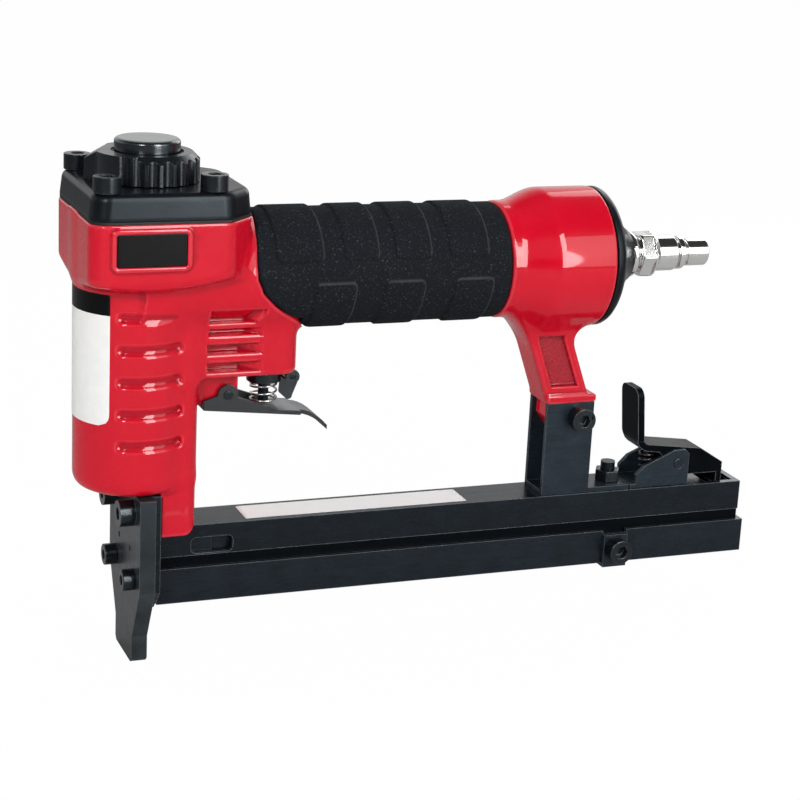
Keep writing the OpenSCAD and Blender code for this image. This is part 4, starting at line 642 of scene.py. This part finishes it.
def vertex_points(mesh):
    """Vertices of a mesh in millimetres."""
    co = np.empty(len(mesh.vertices) * 3, np.float32)
    mesh.vertices.foreach_get("co", co)
    return co.reshape(-1, 3).astype(float) / MM


def mark_vertices(obj, name, values):
    mark = obj.data.attributes.new(name, "FLOAT", "POINT")
    mark.data.foreach_set("value", values.astype(np.float32))


def mark_pad_edges(obj):
    """Vertex values that are high along the upper and rear edges of the pads, for wear and a painted
    highlight.
    """
    x, y, z = vertex_points(obj.data).T
    pad = pad_distance(x, y, z)
    step = 0.5
    radius = np.hypot(y, z - HANDLE_Z)
    turned_up = np.arctan2(z - HANDLE_Z, np.abs(y)) + step / GRIP_R
    above = pad_distance(x, radius * np.cos(turned_up), HANDLE_Z + radius * np.sin(turned_up))
    rise = pad_distance(x + step, y, z) - pad + above - pad
    line = np.clip(1.0 - np.abs(pad + 0.1) / 0.45, 0.0, 1.0) * np.clip(4.0 * rise, 0.0, 1.0)
    mark_vertices(obj, "pad_wear_and_sheen", line)


# Mesh of a distance field


def gradient(field, p, step=0.03):
    """Slope of a field by central differences."""
    g = np.empty_like(p)
    for axis in range(3):
        move = np.zeros(3)
        move[axis] = step
        g[:, axis] = (field(p + move) - field(p - move)) / (2 * step)
    return g


def onto_surface(field, p, reach, rounds=3):
    """Points moved down the field's slope until they lie on its surface."""
    for _ in range(rounds):
        d = field(p)
        g = gradient(field, p)
        size = np.maximum((g * g).sum(1), 0.05)
        p = p - g * np.clip(d / size, -reach, reach)[:, None]
    return p


def sample_grid(field, low, high, pitch, block=8):
    """Field values on a grid, worked out only near the surface."""
    count = np.ceil((high - low) / pitch / block).astype(int)
    values = np.empty(count * block + 1, np.float32)
    spots = np.stack(np.meshgrid(*[np.arange(c) for c in count], indexing="ij"), -1).reshape(-1, 3)
    centre = field(low + (spots + 0.5) * block * pitch)
    near = np.abs(centre) < block * pitch * 1.15 + 1.0
    for spot, d in zip(spots[~near] * block, centre[~near]):
        i, j, k = spot
        values[i:i + block + 1, j:j + block + 1, k:k + block + 1] = d
    offsets = np.stack(np.meshgrid(*[np.arange(block + 1)] * 3, indexing="ij"), -1).reshape(-1, 3)
    busy = spots[near] * block
    batch = 400
    for start in range(0, len(busy), batch):
        group = busy[start:start + batch]
        where = (group[:, None, :] + offsets[None]).reshape(-1, 3)
        values[where[:, 0], where[:, 1], where[:, 2]] = field(low + where * pitch)
    return values


CORNERS = np.array([[i, j, k] for i in (0, 1) for j in (0, 1) for k in (0, 1)])
CELL_EDGES = [(a, b) for a in range(8) for b in range(a + 1, 8)
              if np.abs(CORNERS[a] - CORNERS[b]).sum() == 1]


def surface_net(values, low, pitch):
    """One vertex per cell that the surface crosses and one quad per crossed grid edge."""
    inside = values < 0
    nx, ny, nz = (n - 1 for n in inside.shape)
    total = sum(inside[i:nx + i, j:ny + j, k:nz + k].astype(np.int8) for i, j, k in CORNERS)
    cells = np.argwhere((total > 0) & (total < 8))
    corner_values = np.stack([values[tuple((cells + c).T)] for c in CORNERS], 1)
    place = np.zeros((len(cells), 3))
    hits = np.zeros(len(cells))
    for a, b in CELL_EDGES:
        va, vb = corner_values[:, a], corner_values[:, b]
        cross = (va < 0) != (vb < 0)
        t = np.where(cross, va / np.where(cross, va - vb, 1.0), 0.0)
        place += np.where(cross[:, None], CORNERS[a] + t[:, None] * (CORNERS[b] - CORNERS[a]), 0.0)
        hits += cross
    points = low + (cells + place / hits[:, None]) * pitch
    index = np.full(total.shape, -1, np.int64)
    index[tuple(cells.T)] = np.arange(len(cells))
    quads = []
    for axis in range(3):
        u, v = (axis + 1) % 3, (axis + 2) % 3
        first = [slice(None)] * 3
        second = [slice(None)] * 3
        first[axis] = slice(0, -1)
        second[axis] = slice(1, None)
        a, b = inside[tuple(first)], inside[tuple(second)]
        spots = np.argwhere(a != b)
        spots = spots[(spots[:, u] > 0) & (spots[:, v] > 0)]
        spots = spots[(spots[:, u] < index.shape[u]) & (spots[:, v] < index.shape[v])]
        outward = a[tuple(spots.T)]
        ring = []
        for du, dv in ((-1, -1), (0, -1), (0, 0), (-1, 0)):
            cell = spots.copy()
            cell[:, u] += du
            cell[:, v] += dv
            ring.append(index[tuple(cell.T)])
        quad = np.stack(ring, 1)
        quad[~outward] = quad[~outward][:, ::-1]
        quads.append(quad)
    return points, np.concatenate(quads)


def link(obj):
    bpy.context.scene.collection.objects.link(obj)
    return obj


def mesh_from_arrays(name, points, faces):
    """Mesh object of points in millimetres and faces of even length."""
    mesh = bpy.data.meshes.new(name)
    sides = faces.shape[1]
    mesh.vertices.add(len(points))
    mesh.vertices.foreach_set("co", (points * MM).astype(np.float32).ravel())
    mesh.loops.add(faces.size)
    mesh.loops.foreach_set("vertex_index", faces.astype(np.int32).ravel())
    mesh.polygons.add(len(faces))
    mesh.polygons.foreach_set("loop_start", np.arange(0, faces.size, sides, dtype=np.int32))
    mesh.polygons.foreach_set("use_smooth", np.ones(len(faces), bool))
    mesh.update(calc_edges=True)
    mesh.validate()
    return link(bpy.data.objects.new(name, mesh))


def baked(obj):
    """The object with its modifiers turned into mesh."""
    bpy.context.view_layer.update()
    graph = bpy.context.evaluated_depsgraph_get()
    mesh = bpy.data.meshes.new_from_object(obj.evaluated_get(graph))
    obj.modifiers.clear()
    old = obj.data
    obj.data = mesh
    bpy.data.meshes.remove(old)
    return obj


def cast_piece(name, field, low, high, pitch, keep, material):
    """Mesh of a field, thinned and set back on the surface, with the field's own normals."""
    low, high = np.array(low, float), np.array(high, float)
    pitch = pitch * 1.0
    points, quads = surface_net(sample_grid(field, low, high, pitch), low, pitch)
    points = onto_surface(field, points, pitch / 2)
    obj = mesh_from_arrays(name, points, quads)
    thin = obj.modifiers.new("thin", "DECIMATE")
    thin.ratio = keep
    baked(obj)
    mesh = obj.data
    points = onto_surface(field, vertex_points(mesh), pitch / 3, 2)
    mesh.vertices.foreach_set("co", (points * MM).astype(np.float32).ravel())
    g = gradient(field, points, 0.12)
    g /= np.maximum(np.linalg.norm(g, axis=1), 1e-6)[:, None]
    mesh.polygons.foreach_set("use_smooth", np.ones(len(mesh.polygons), bool))
    mesh.normals_split_custom_set_from_vertices(g.astype(np.float32).tolist())
    mesh.materials.clear()
    mesh.materials.append(material)
    mesh.update()
    return obj


def mark_bends(obj, field, step=0.7, full=0.75):
    """Vertex values of the bend: a half where flat, one on tight rounds, nought in tight hollows."""
    points = vertex_points(obj.data)
    total = -6.0 * field(points)
    for shift in np.eye(3) * step:
        total = total + field(points + shift) + field(points - shift)
    mark_vertices(obj, "bend", np.clip(0.5 + 0.5 * total / (step * step * full), 0.0, 1.0))


def placed(obj, body, slot, *replaced):
    """Body, colour slot (not used) and the CAD pieces that the object stands in for."""
    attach(obj, body)
    if replaced:
        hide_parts(*replaced)
    return obj


# Casting and grip

housing = cast_piece("housing_cast", housing_field, (-22, -30, 38), (164, 30, 150),
                     pitch=0.6, keep=0.4, material=RED)
mark_bends(housing, housing_field)
placed(housing, "housing", "red_casting", "housing")
grip = cast_piece("grip_moulded", grip_field, (30, -23, 103), (124, 23, 150),
                  pitch=0.45, keep=0.6, material=GRIP)
mark_pad_edges(grip)
placed(grip, "housing", "grip_rubber", "grip_sleeve")
cap = cast_piece("cap_cast", cap_field, (-22, -28, 134), (36, 28, 166),
                 pitch=0.5, keep=0.4, material=BLACK_CAST)
placed(cap, "housing", "black_casting", "cylinder_cap")


# Turned pieces


def turned(name, profile, material, segments=96):
    """A closed ring of radius and X pairs, turned round the handle's axis."""
    n = len(profile)
    angle = np.arange(segments) * 2 * math.pi / segments
    points = np.array([[px, pr * math.cos(a), HANDLE_Z + pr * math.sin(a)]
                       for a in angle for pr, px in profile])
    faces = np.array([[i * n + j, i * n + (j + 1) % n, (i + 1) % segments * n + (j + 1) % n,
                       (i + 1) % segments * n + j] for i in range(segments) for j in range(n)])
    obj = mesh_from_arrays(name, points, faces)
    obj.data.materials.append(material)
    soft = obj.modifiers.new("edge", "BEVEL")
    soft.width = 0.35 * MM
    soft.segments = 2
    soft.limit_method = "ANGLE"
    soft.angle_limit = math.radians(32)
    obj.modifiers.new("normals", "WEIGHTED_NORMAL").weight = 60
    return obj


# Radius and X of the end cap's outline, from its spigot to the flat round the plug
END_CAP = [(6.3, 156.8), (15.0, 156.7), (15.0, 148.7), (19.6, 148.7), (19.6, 156.7), (23.3, 156.7),
           (23.4, 157.0), (23.4, 158.3), (22.9, 159.3), (21.8, 160.3), (20.0, 161.4), (18.0, 162.6),
           (16.0, 163.8), (14.0, 165.2), (12.2, 166.6), (10.9, 167.7), (10.0, 168.6), (9.3, 169.5),
           (8.8, 170.3), (6.3, 170.3)]
end_cap = turned("end_cap_turned", END_CAP, BLACK_CAST)
placed(end_cap, "housing", "black_casting", "end_cap")


# Air plug: beaded collar, chamfered hexagon and the stepped nose of a quick coupling

PLUG_AF = 14.0
PLUG_NUT_X = 177.4
PLUG_BARREL_X = 181.4
PLUG_BARREL_R = 6.05
# X from, X to and radius of the barrel, the neck, the bulb and the tip
PLUG_STEPS = [(179.6, 188.6, PLUG_BARREL_R), (187.0, 194.0, 4.1), (189.7, 191.9, 5.65),
              (193.2, 201.1, 4.65)]


def plug_field(p):
    """Plug along the handle's axis with an open bore."""
    x, y, z = p[:, 0], np.abs(p[:, 1]), np.abs(p[:, 2] - HANDLE_Z)
    r = np.hypot(y, z)
    flats = np.maximum(z, 0.5 * z + 0.866 * y) - PLUG_AF / 2
    dome = r - 8.0 + 0.58 * np.maximum(np.abs(x - PLUG_NUT_X) - 2.0, 0.0)
    nut = biggest(flats, dome, np.abs(x - PLUG_NUT_X) - 2.8)
    bead = np.hypot(np.maximum(r - 6.2, 0.0), x - 171.9) - 1.5
    stem = np.maximum(r - 5.6, np.abs(x - 172.0) - 11.6)
    cone = biggest(r - PLUG_BARREL_R - 0.8 * (PLUG_BARREL_X - x), x - PLUG_BARREL_X, 179.0 - x)
    shape = smallest(nut, bead, stem, cone)
    for start, end, radius in PLUG_STEPS:
        shape = np.minimum(shape, corner(r - radius, np.maximum(start - x, x - end), 0.4))
    return np.maximum(shape, 3.0 - r)


plug = cast_piece("air_plug_plated", plug_field, (158, -9.4, 117), (203, 9.4, 136.4),
                  pitch=0.3, keep=0.5, material=CHROME)
placed(plug, "housing", "plated_steel", "air_plug")


# Wound springs


STEPS_PER_TURN = 24
WIRE_SIDES = 8
CLOSED_PITCH = 0.28


def coil(name, centre, axis, radius, wire, start, end, turns, closed, material):
    """Round wire wound along an axis, with closed end turns."""
    steps = int(turns * STEPS_PER_TURN)
    ring = WIRE_SIDES
    t = np.linspace(0.0, 1.0, steps + 1)
    flat = closed / turns
    end_rise = flat * CLOSED_PITCH
    rise = np.interp(t, [0.0, flat, 1.0 - flat, 1.0], [0.0, end_rise, 1.0 - end_rise, 1.0])
    along = start + (end - start) * rise
    turn = 2 * math.pi * turns * t
    u, v = (0, 1) if axis == 2 else (1, 2)
    line = np.zeros((steps + 1, 3))
    line[:, u] = centre[0] + radius * np.cos(turn)
    line[:, v] = centre[1] + radius * np.sin(turn)
    line[:, axis] = along
    run = np.gradient(line, axis=0)
    run /= np.linalg.norm(run, axis=1)[:, None]
    out = np.zeros_like(line)
    out[:, u] = np.cos(turn)
    out[:, v] = np.sin(turn)
    side = np.cross(run, out)
    points = np.concatenate([line + wire * (math.cos(a) * out + math.sin(a) * side)
                             for a in np.arange(ring) * 2 * math.pi / ring])
    m = steps + 1
    faces = [[k * m + i, k * m + i + 1, (k + 1) % ring * m + i + 1, (k + 1) % ring * m + i]
             for k in range(ring) for i in range(steps)]
    for i, order in ((0, range(ring)), (steps, range(ring - 1, -1, -1))):
        loop = [k * m + i for k in order]
        faces += [[loop[0], loop[q], loop[q + 1], loop[q + 2]] for q in range(1, ring - 2, 2)]
    obj = mesh_from_arrays(name, points, np.array(faces))
    obj.data.materials.append(material)
    return obj


trigger_coil = coil("trigger_coil", (VALVE_X, 0.0), axis=2, radius=4.2, wire=0.36, start=83.0, end=88.7,
                    turns=3.6, closed=0.8, material=STEEL)
placed(trigger_coil, "housing", "bright_steel", "trigger_spring")
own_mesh(trigger_coil)
latch_coil = coil("latch_coil", (185.8, 0.0), axis=2, radius=2.4, wire=0.4, start=46.9, end=55.0,
                  turns=5.5, closed=1.0, material=SHADED_SPRING)
placed(latch_coil, "housing", "bright_steel", "latch_spring")
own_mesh(latch_coil)
head_coil = coil("head_valve_coil", (0.0, 0.0), axis=2, radius=10.6, wire=0.6, start=136.5, end=150.1,
                 turns=4.0, closed=0.8, material=STEEL)
placed(head_coil, "housing", "bright_steel", "head_valve_spring")
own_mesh(head_coil)
push_coil = coil("pusher_coil", (0.0, 29.1), axis=0, radius=1.95, wire=0.42, start=26.6, end=209.2,
                 turns=56.0, closed=1.2, material=STEEL)
placed(push_coil, "slide", "bright_steel", "pusher_spring")
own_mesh(push_coil)


# Films and plates that carry no words


def film(name, size, thick, rounds, material, curve):
    """Thin sheet with rounded upper and lower corners, laid on a surface by curve."""
    w, h = size
    n = 44
    us = np.linspace(-w / 2, w / 2, n + 1)
    vs = np.linspace(-h / 2, h / 2, n + 1)
    points, faces = [], []
    for level in (0.0, thick):
        for v in vs:
            r = rounds[0] if v > 0 else rounds[1]
            over = max(0.0, abs(v) - h / 2 + r)
            inset = r - math.sqrt(max(0.0, r * r - over * over))
            for u in us:
                points.append((u * (1 - 2 * inset / w), v, level))
    m = (n + 1) ** 2
    for j in range(n):
        for i in range(n):
            a = j * (n + 1) + i
            faces.append([a + n + 1, a + n + 2, a + 1, a])
            faces.append([m + a, m + a + 1, m + a + n + 2, m + a + n + 1])
    rim = ([(0, i) for i in range(n)] + [(j, n) for j in range(n)] + [(n, i) for i in range(n, 0, -1)]
           + [(j, 0) for j in range(n, 0, -1)])
    rim = [j * (n + 1) + i for j, i in rim]
    for a, b in zip(rim, rim[1:] + rim[:1]):
        faces.append([a, b, m + b, m + a])
    points = np.array([curve(*p) for p in points])
    obj = mesh_from_arrays(name, points, np.array(faces))
    obj.data.materials.append(material)
    obj.modifiers.new("normals", "WEIGHTED_NORMAL").weight = 80
    return obj


def on_barrel(low_z, high_z, from_deg, to_deg, lift):
    """Maps a flat sheet onto the barrel between two angles from the front toward the near side."""
    middle = math.radians((from_deg + to_deg) / 2)

    def bend(u, v, t):
        a = middle - u / BARREL_R
        rr = BARREL_R + lift + t
        return -rr * math.cos(a), -rr * math.sin(a), (low_z + high_z) / 2 + v
    return bend


def on_head(u, v, t):
    """Lays a flat sheet on the near face of the head, inside the raised frame."""
    return u + PLATE_X, -25.45 - t, v + PLATE_Z


def on_magazine(u, v, t):
    """Lays a flat sheet on top of the fixed magazine."""
    return u + 76.0, v, 44.52 + t


LABEL_SPAN = math.radians(101.0) * BARREL_R
label = film("barrel_label", (LABEL_SPAN, 42.0), 0.12, (1.2, 3.6), WHITE_FILM,
             on_barrel(81.5, 123.5, 54.5, -46.5, 0.03))
placed(label, "housing", "red_casting")
header = film("barrel_label_header", (LABEL_SPAN, 7.0), 0.14, (1.2, 0.1), BLACK_FILM,
              on_barrel(116.6, 123.6, 54.6, -46.4, 0.04))
placed(header, "housing", "red_casting")
plate = film("head_plate", (21.6, 10.0), 0.3, (0.5, 0.5), BLACK_FILM, on_head)
placed(plate, "housing", "black_plastic")
sticker = film("magazine_sticker", (78.0, 12.2), 0.1, (0.4, 0.4), PALE_FILM, on_magazine)
placed(sticker, "housing", "black_steel")


# CAD pieces that keep their own shape


WELD_REACH = 0.002
FLAT_DEGREES = 0.6
EDGE_DEGREES = 38


def dress(name, material, width):
    """Material and softened edges on a CAD piece."""
    obj = nodes[name]
    if not obj.data.materials:
        obj.data.materials.append(material)
    for i in range(len(obj.material_slots)):
        obj.material_slots[i].material = material
    if width:
        weld = obj.modifiers.new("weld", "WELD")
        weld.merge_threshold = WELD_REACH * MM
        flat = obj.modifiers.new("flat", "DECIMATE")
        flat.decimate_type = "DISSOLVE"
        flat.angle_limit = math.radians(FLAT_DEGREES)
        soft = obj.modifiers.new("edge", "BEVEL")
        soft.width = width * MM
        soft.segments = 3
        soft.limit_method = "ANGLE"
        soft.angle_limit = math.radians(EDGE_DEGREES)
        soft.miter_outer = "MITER_ARC"
        normals = obj.modifiers.new("normals", "WEIGHTED_NORMAL")
        normals.weight = 50
        normals.keep_sharp = False


# Material and width of the softened edges for each CAD piece
DRESS = {
    "cap_gasket": (SEAL, 0.1), "cap_screws": (BLACK_SCREW, 0.35),
    "exhaust_deflector": (BLACK_PLASTIC, 0.3), "deflector_retainer": (RETAINER, 0.4),
    "head_valve": (ALLOY, 0.2), "head_valve_ring": (SEAL, 0), "cylinder_liner": (ALLOY, 0.2),
    "liner_rings": (SEAL, 0), "piston": (ALLOY, 0.25), "piston_ring": (SEAL, 0), "blade_pin": (STEEL, 0.2),
    "driver_blade": (STEEL, 0.12), "bumper": (SEAL, 0.5), "driver_guide": (BLACK_STEEL, 0.3),
    "front_plate": (GREY_STEEL, 0.55), "upper_nose_screws": (BLACK_SCREW, 0.4),
    "lower_nose_screws": (BLACK_SCREW, 0.35), "valve_bush": (BLACK_PLASTIC, 0.4),
    "valve_stem": (BLACK_STEEL, 0.2),
    "stem_ring": (SEAL, 0), "trigger": (TRIGGER, 0.35), "trigger_pin": (BLACK_SCREW, 0.25),
    "lock_finger": (GREY_STEEL, 0.4), "lock_pin": (BLACK_STEEL, 0.2), "end_cap_ring": (SEAL, 0),
    "bracket": (BLUED_STEEL, 0.45), "bracket_screw": (BLACK_SCREW, 0.4),
    "bracket_nut": (BLACK_SCREW, 0.35), "fixed_magazine": (BLACK_MAGAZINE, 0.6),
    "magazine_nut": (BLACK_SCREW, 0.35),
    "magazine_slide": (BLACK_STEEL, 0.45), "staple_rail": (BLACK_STEEL, 0.2), "spring_rod": (STEEL, 0.1),
    "pusher": (BLACK_STEEL, 0.2), "clip_strap": (BLUED_STEEL, 0.35), "clip_screw": (BLACK_SCREW, 0.4),
    "latch_bracket": (BLUED_STEEL, 0.45), "latch_pin": (BLACK_SCREW, 0.3), "latch_lever": (SHADED_LEVER, 0.45),
}
for node_name, (node_material, node_width) in DRESS.items():
    dress(node_name, node_material, node_width)


# Stage: floor, light and camera


FLOOR_TONE = (0.82, 0.82, 0.82)
FLOOR_TONE_MIRRORED = (0.5, 0.5, 0.5)


def camera_white(name, share):
    """White to the camera, greyer in reflections, with part of the shadow kept."""
    mat = bpy.data.materials.new(name)
    mat.use_nodes = True
    tree = mat.node_tree
    tree.nodes.clear()
    out = add_node(tree, "ShaderNodeOutputMaterial")
    diffuse = add_node(tree, "ShaderNodeBsdfDiffuse")
    glow = add_node(tree, "ShaderNodeEmission")
    glow.inputs["Color"].default_value = (1.0, 1.0, 1.0, 1.0)
    path = add_node(tree, "ShaderNodeLightPath")
    tone = blend(tree, path.outputs["Is Glossy Ray"], FLOOR_TONE, FLOOR_TONE_MIRRORED)
    tree.links.new(tone, diffuse.inputs["Color"])
    seen = math_node(tree, "MAXIMUM", path.outputs["Is Camera Ray"], path.outputs["Is Transmission Ray"])
    factor = math_node(tree, "MULTIPLY", seen, share)
    mix = add_node(tree, "ShaderNodeMixShader")
    tree.links.new(factor, mix.inputs["Fac"])
    tree.links.new(diffuse.outputs["BSDF"], mix.inputs[1])
    tree.links.new(glow.outputs["Emission"], mix.inputs[2])
    tree.links.new(mix.outputs["Shader"], out.inputs["Surface"])
    return mat


def make_floor():
    half, level = 3000.0, -0.4
    corners = [(-half, -half), (half, -half), (half, half), (-half, half)]
    points = np.array([[x, y, level] for x, y in corners])
    floor = mesh_from_arrays("floor", points, np.array([[0, 1, 2, 3]]))
    floor.data.materials.append(camera_white("pale_floor", 0.985))


# Brightness of the surroundings against height, as a share from straight down to straight up
NEAR_SKY = [(0.0, 0.2), (0.44, 0.12), (0.47, 0.02), (0.56, 0.02), (0.6, 0.36), (0.8, 0.36), (0.87, 0.04),
            (1.0, 0.04)]
FAR_SKY = [(0.0, 0.2), (0.49, 0.3), (0.5, 0.85), (0.7, 0.85), (0.82, 0.3), (0.88, 0.04), (1.0, 0.04)]


def make_world():
    """White to the camera; elsewhere light from the near and far sides that changes with height."""
    world = bpy.data.worlds.new("studio")
    bpy.context.scene.world = world
    world.use_nodes = True
    tree = world.node_tree
    tree.nodes.clear()
    out = add_node(tree, "ShaderNodeOutputWorld")
    seen = add_node(tree, "ShaderNodeBackground")
    seen.inputs["Color"].default_value = (1.0, 1.0, 1.0, 1.0)
    fill = add_node(tree, "ShaderNodeBackground")
    ahead, upward = split_xyz(tree, add_node(tree, "ShaderNodeTexCoord").outputs["Generated"])[1:]
    height = math_node(tree, "MULTIPLY_ADD", upward, 0.5, 0.5)
    near_side = grey_ramp(tree, height, NEAR_SKY)
    far_side = grey_ramp(tree, height, FAR_SKY)
    behind = map_range(tree, ahead, 0.0, 0.45)
    tree.links.new(blend(tree, behind, near_side, far_side), fill.inputs["Color"])
    path = add_node(tree, "ShaderNodeLightPath")
    mix = add_node(tree, "ShaderNodeMixShader")
    tree.links.new(path.outputs["Is Camera Ray"], mix.inputs["Fac"])
    tree.links.new(fill.outputs["Background"], mix.inputs[1])
    tree.links.new(seen.outputs["Background"], mix.inputs[2])
    tree.links.new(mix.outputs["Shader"], out.inputs["Surface"])


def area_light(name, place, aim, size, power, mirrored=True, lit=True):
    """Soft lamp; mirrored shows it in reflections, lit lets it light dull surfaces."""
    data = bpy.data.lights.new(name, "AREA")
    data.shape = "RECTANGLE"
    data.size, data.size_y = size
    data.energy = power
    obj = link(bpy.data.objects.new(name, data))
    place, aim = np.array(place, float), np.array(aim, float)
    back = (place - aim) / np.linalg.norm(place - aim)
    side = np.cross((0.0, 0.0, 1.0), back)
    side = side / np.linalg.norm(side)
    up = np.cross(back, side)
    obj.matrix_world = Matrix([[side[i], up[i], back[i], place[i]] for i in range(3)] + [[0, 0, 0, 1]])
    obj.visible_glossy = mirrored
    obj.visible_diffuse = lit


# The photograph's camera: place in metres, its axes, and the lens for a sensor 36 mm wide
CAMERA_SPOT = (-0.1548, -0.6110, 0.2702)
CAMERA_RIGHT = (0.9316, -0.3602, 0.0483)
CAMERA_UP = (0.0571, 0.2761, 0.9594)
CAMERA_AHEAD = (0.3589, 0.8911, -0.2778)
CAMERA_LENS = 92.83


def make_camera():
    data = bpy.data.cameras.new("camera")
    data.sensor_fit = "HORIZONTAL"
    data.sensor_width = 36.0
    data.lens = CAMERA_LENS
    data.clip_start = 0.01
    data.clip_end = 20.0
    cam = link(bpy.data.objects.new("camera", data))
    rows = [[CAMERA_RIGHT[i], CAMERA_UP[i], -CAMERA_AHEAD[i], CAMERA_SPOT[i]] for i in range(3)]
    cam.matrix_world = Matrix(rows + [[0, 0, 0, 1]])
    bpy.context.scene.camera = cam


make_floor()
make_world()
# Lamps: place, aim and size in metres, power in watts
AIM = (0.09, 0.0, 0.09)
area_light("key", (-0.42, -0.62, 0.52), AIM, (0.18, 0.34), 3.6)
area_light("front_fill", (0.38, -0.85, 0.42), AIM, (0.1, 0.36), 1.9, mirrored=False)
area_light("window", (0.38, -0.85, 0.46), AIM, (0.34, 0.9), 12.0, lit=False)
area_light("card", (0.71, -0.7, 0.4), AIM, (0.5, 0.75), 2.4, lit=False)
area_light("side_fill", (0.71, -0.7, 0.45), AIM, (0.16, 0.3), 1.5, mirrored=False)
area_light("top", (0.1, 0.05, 0.95), AIM, (0.7, 0.7), 2.9, mirrored=False)
area_light("rim", (0.65, 0.45, 0.45), AIM, (0.4, 0.6), 1.4)
make_camera()
bpy.context.scene.view_settings.view_transform = "Standard"
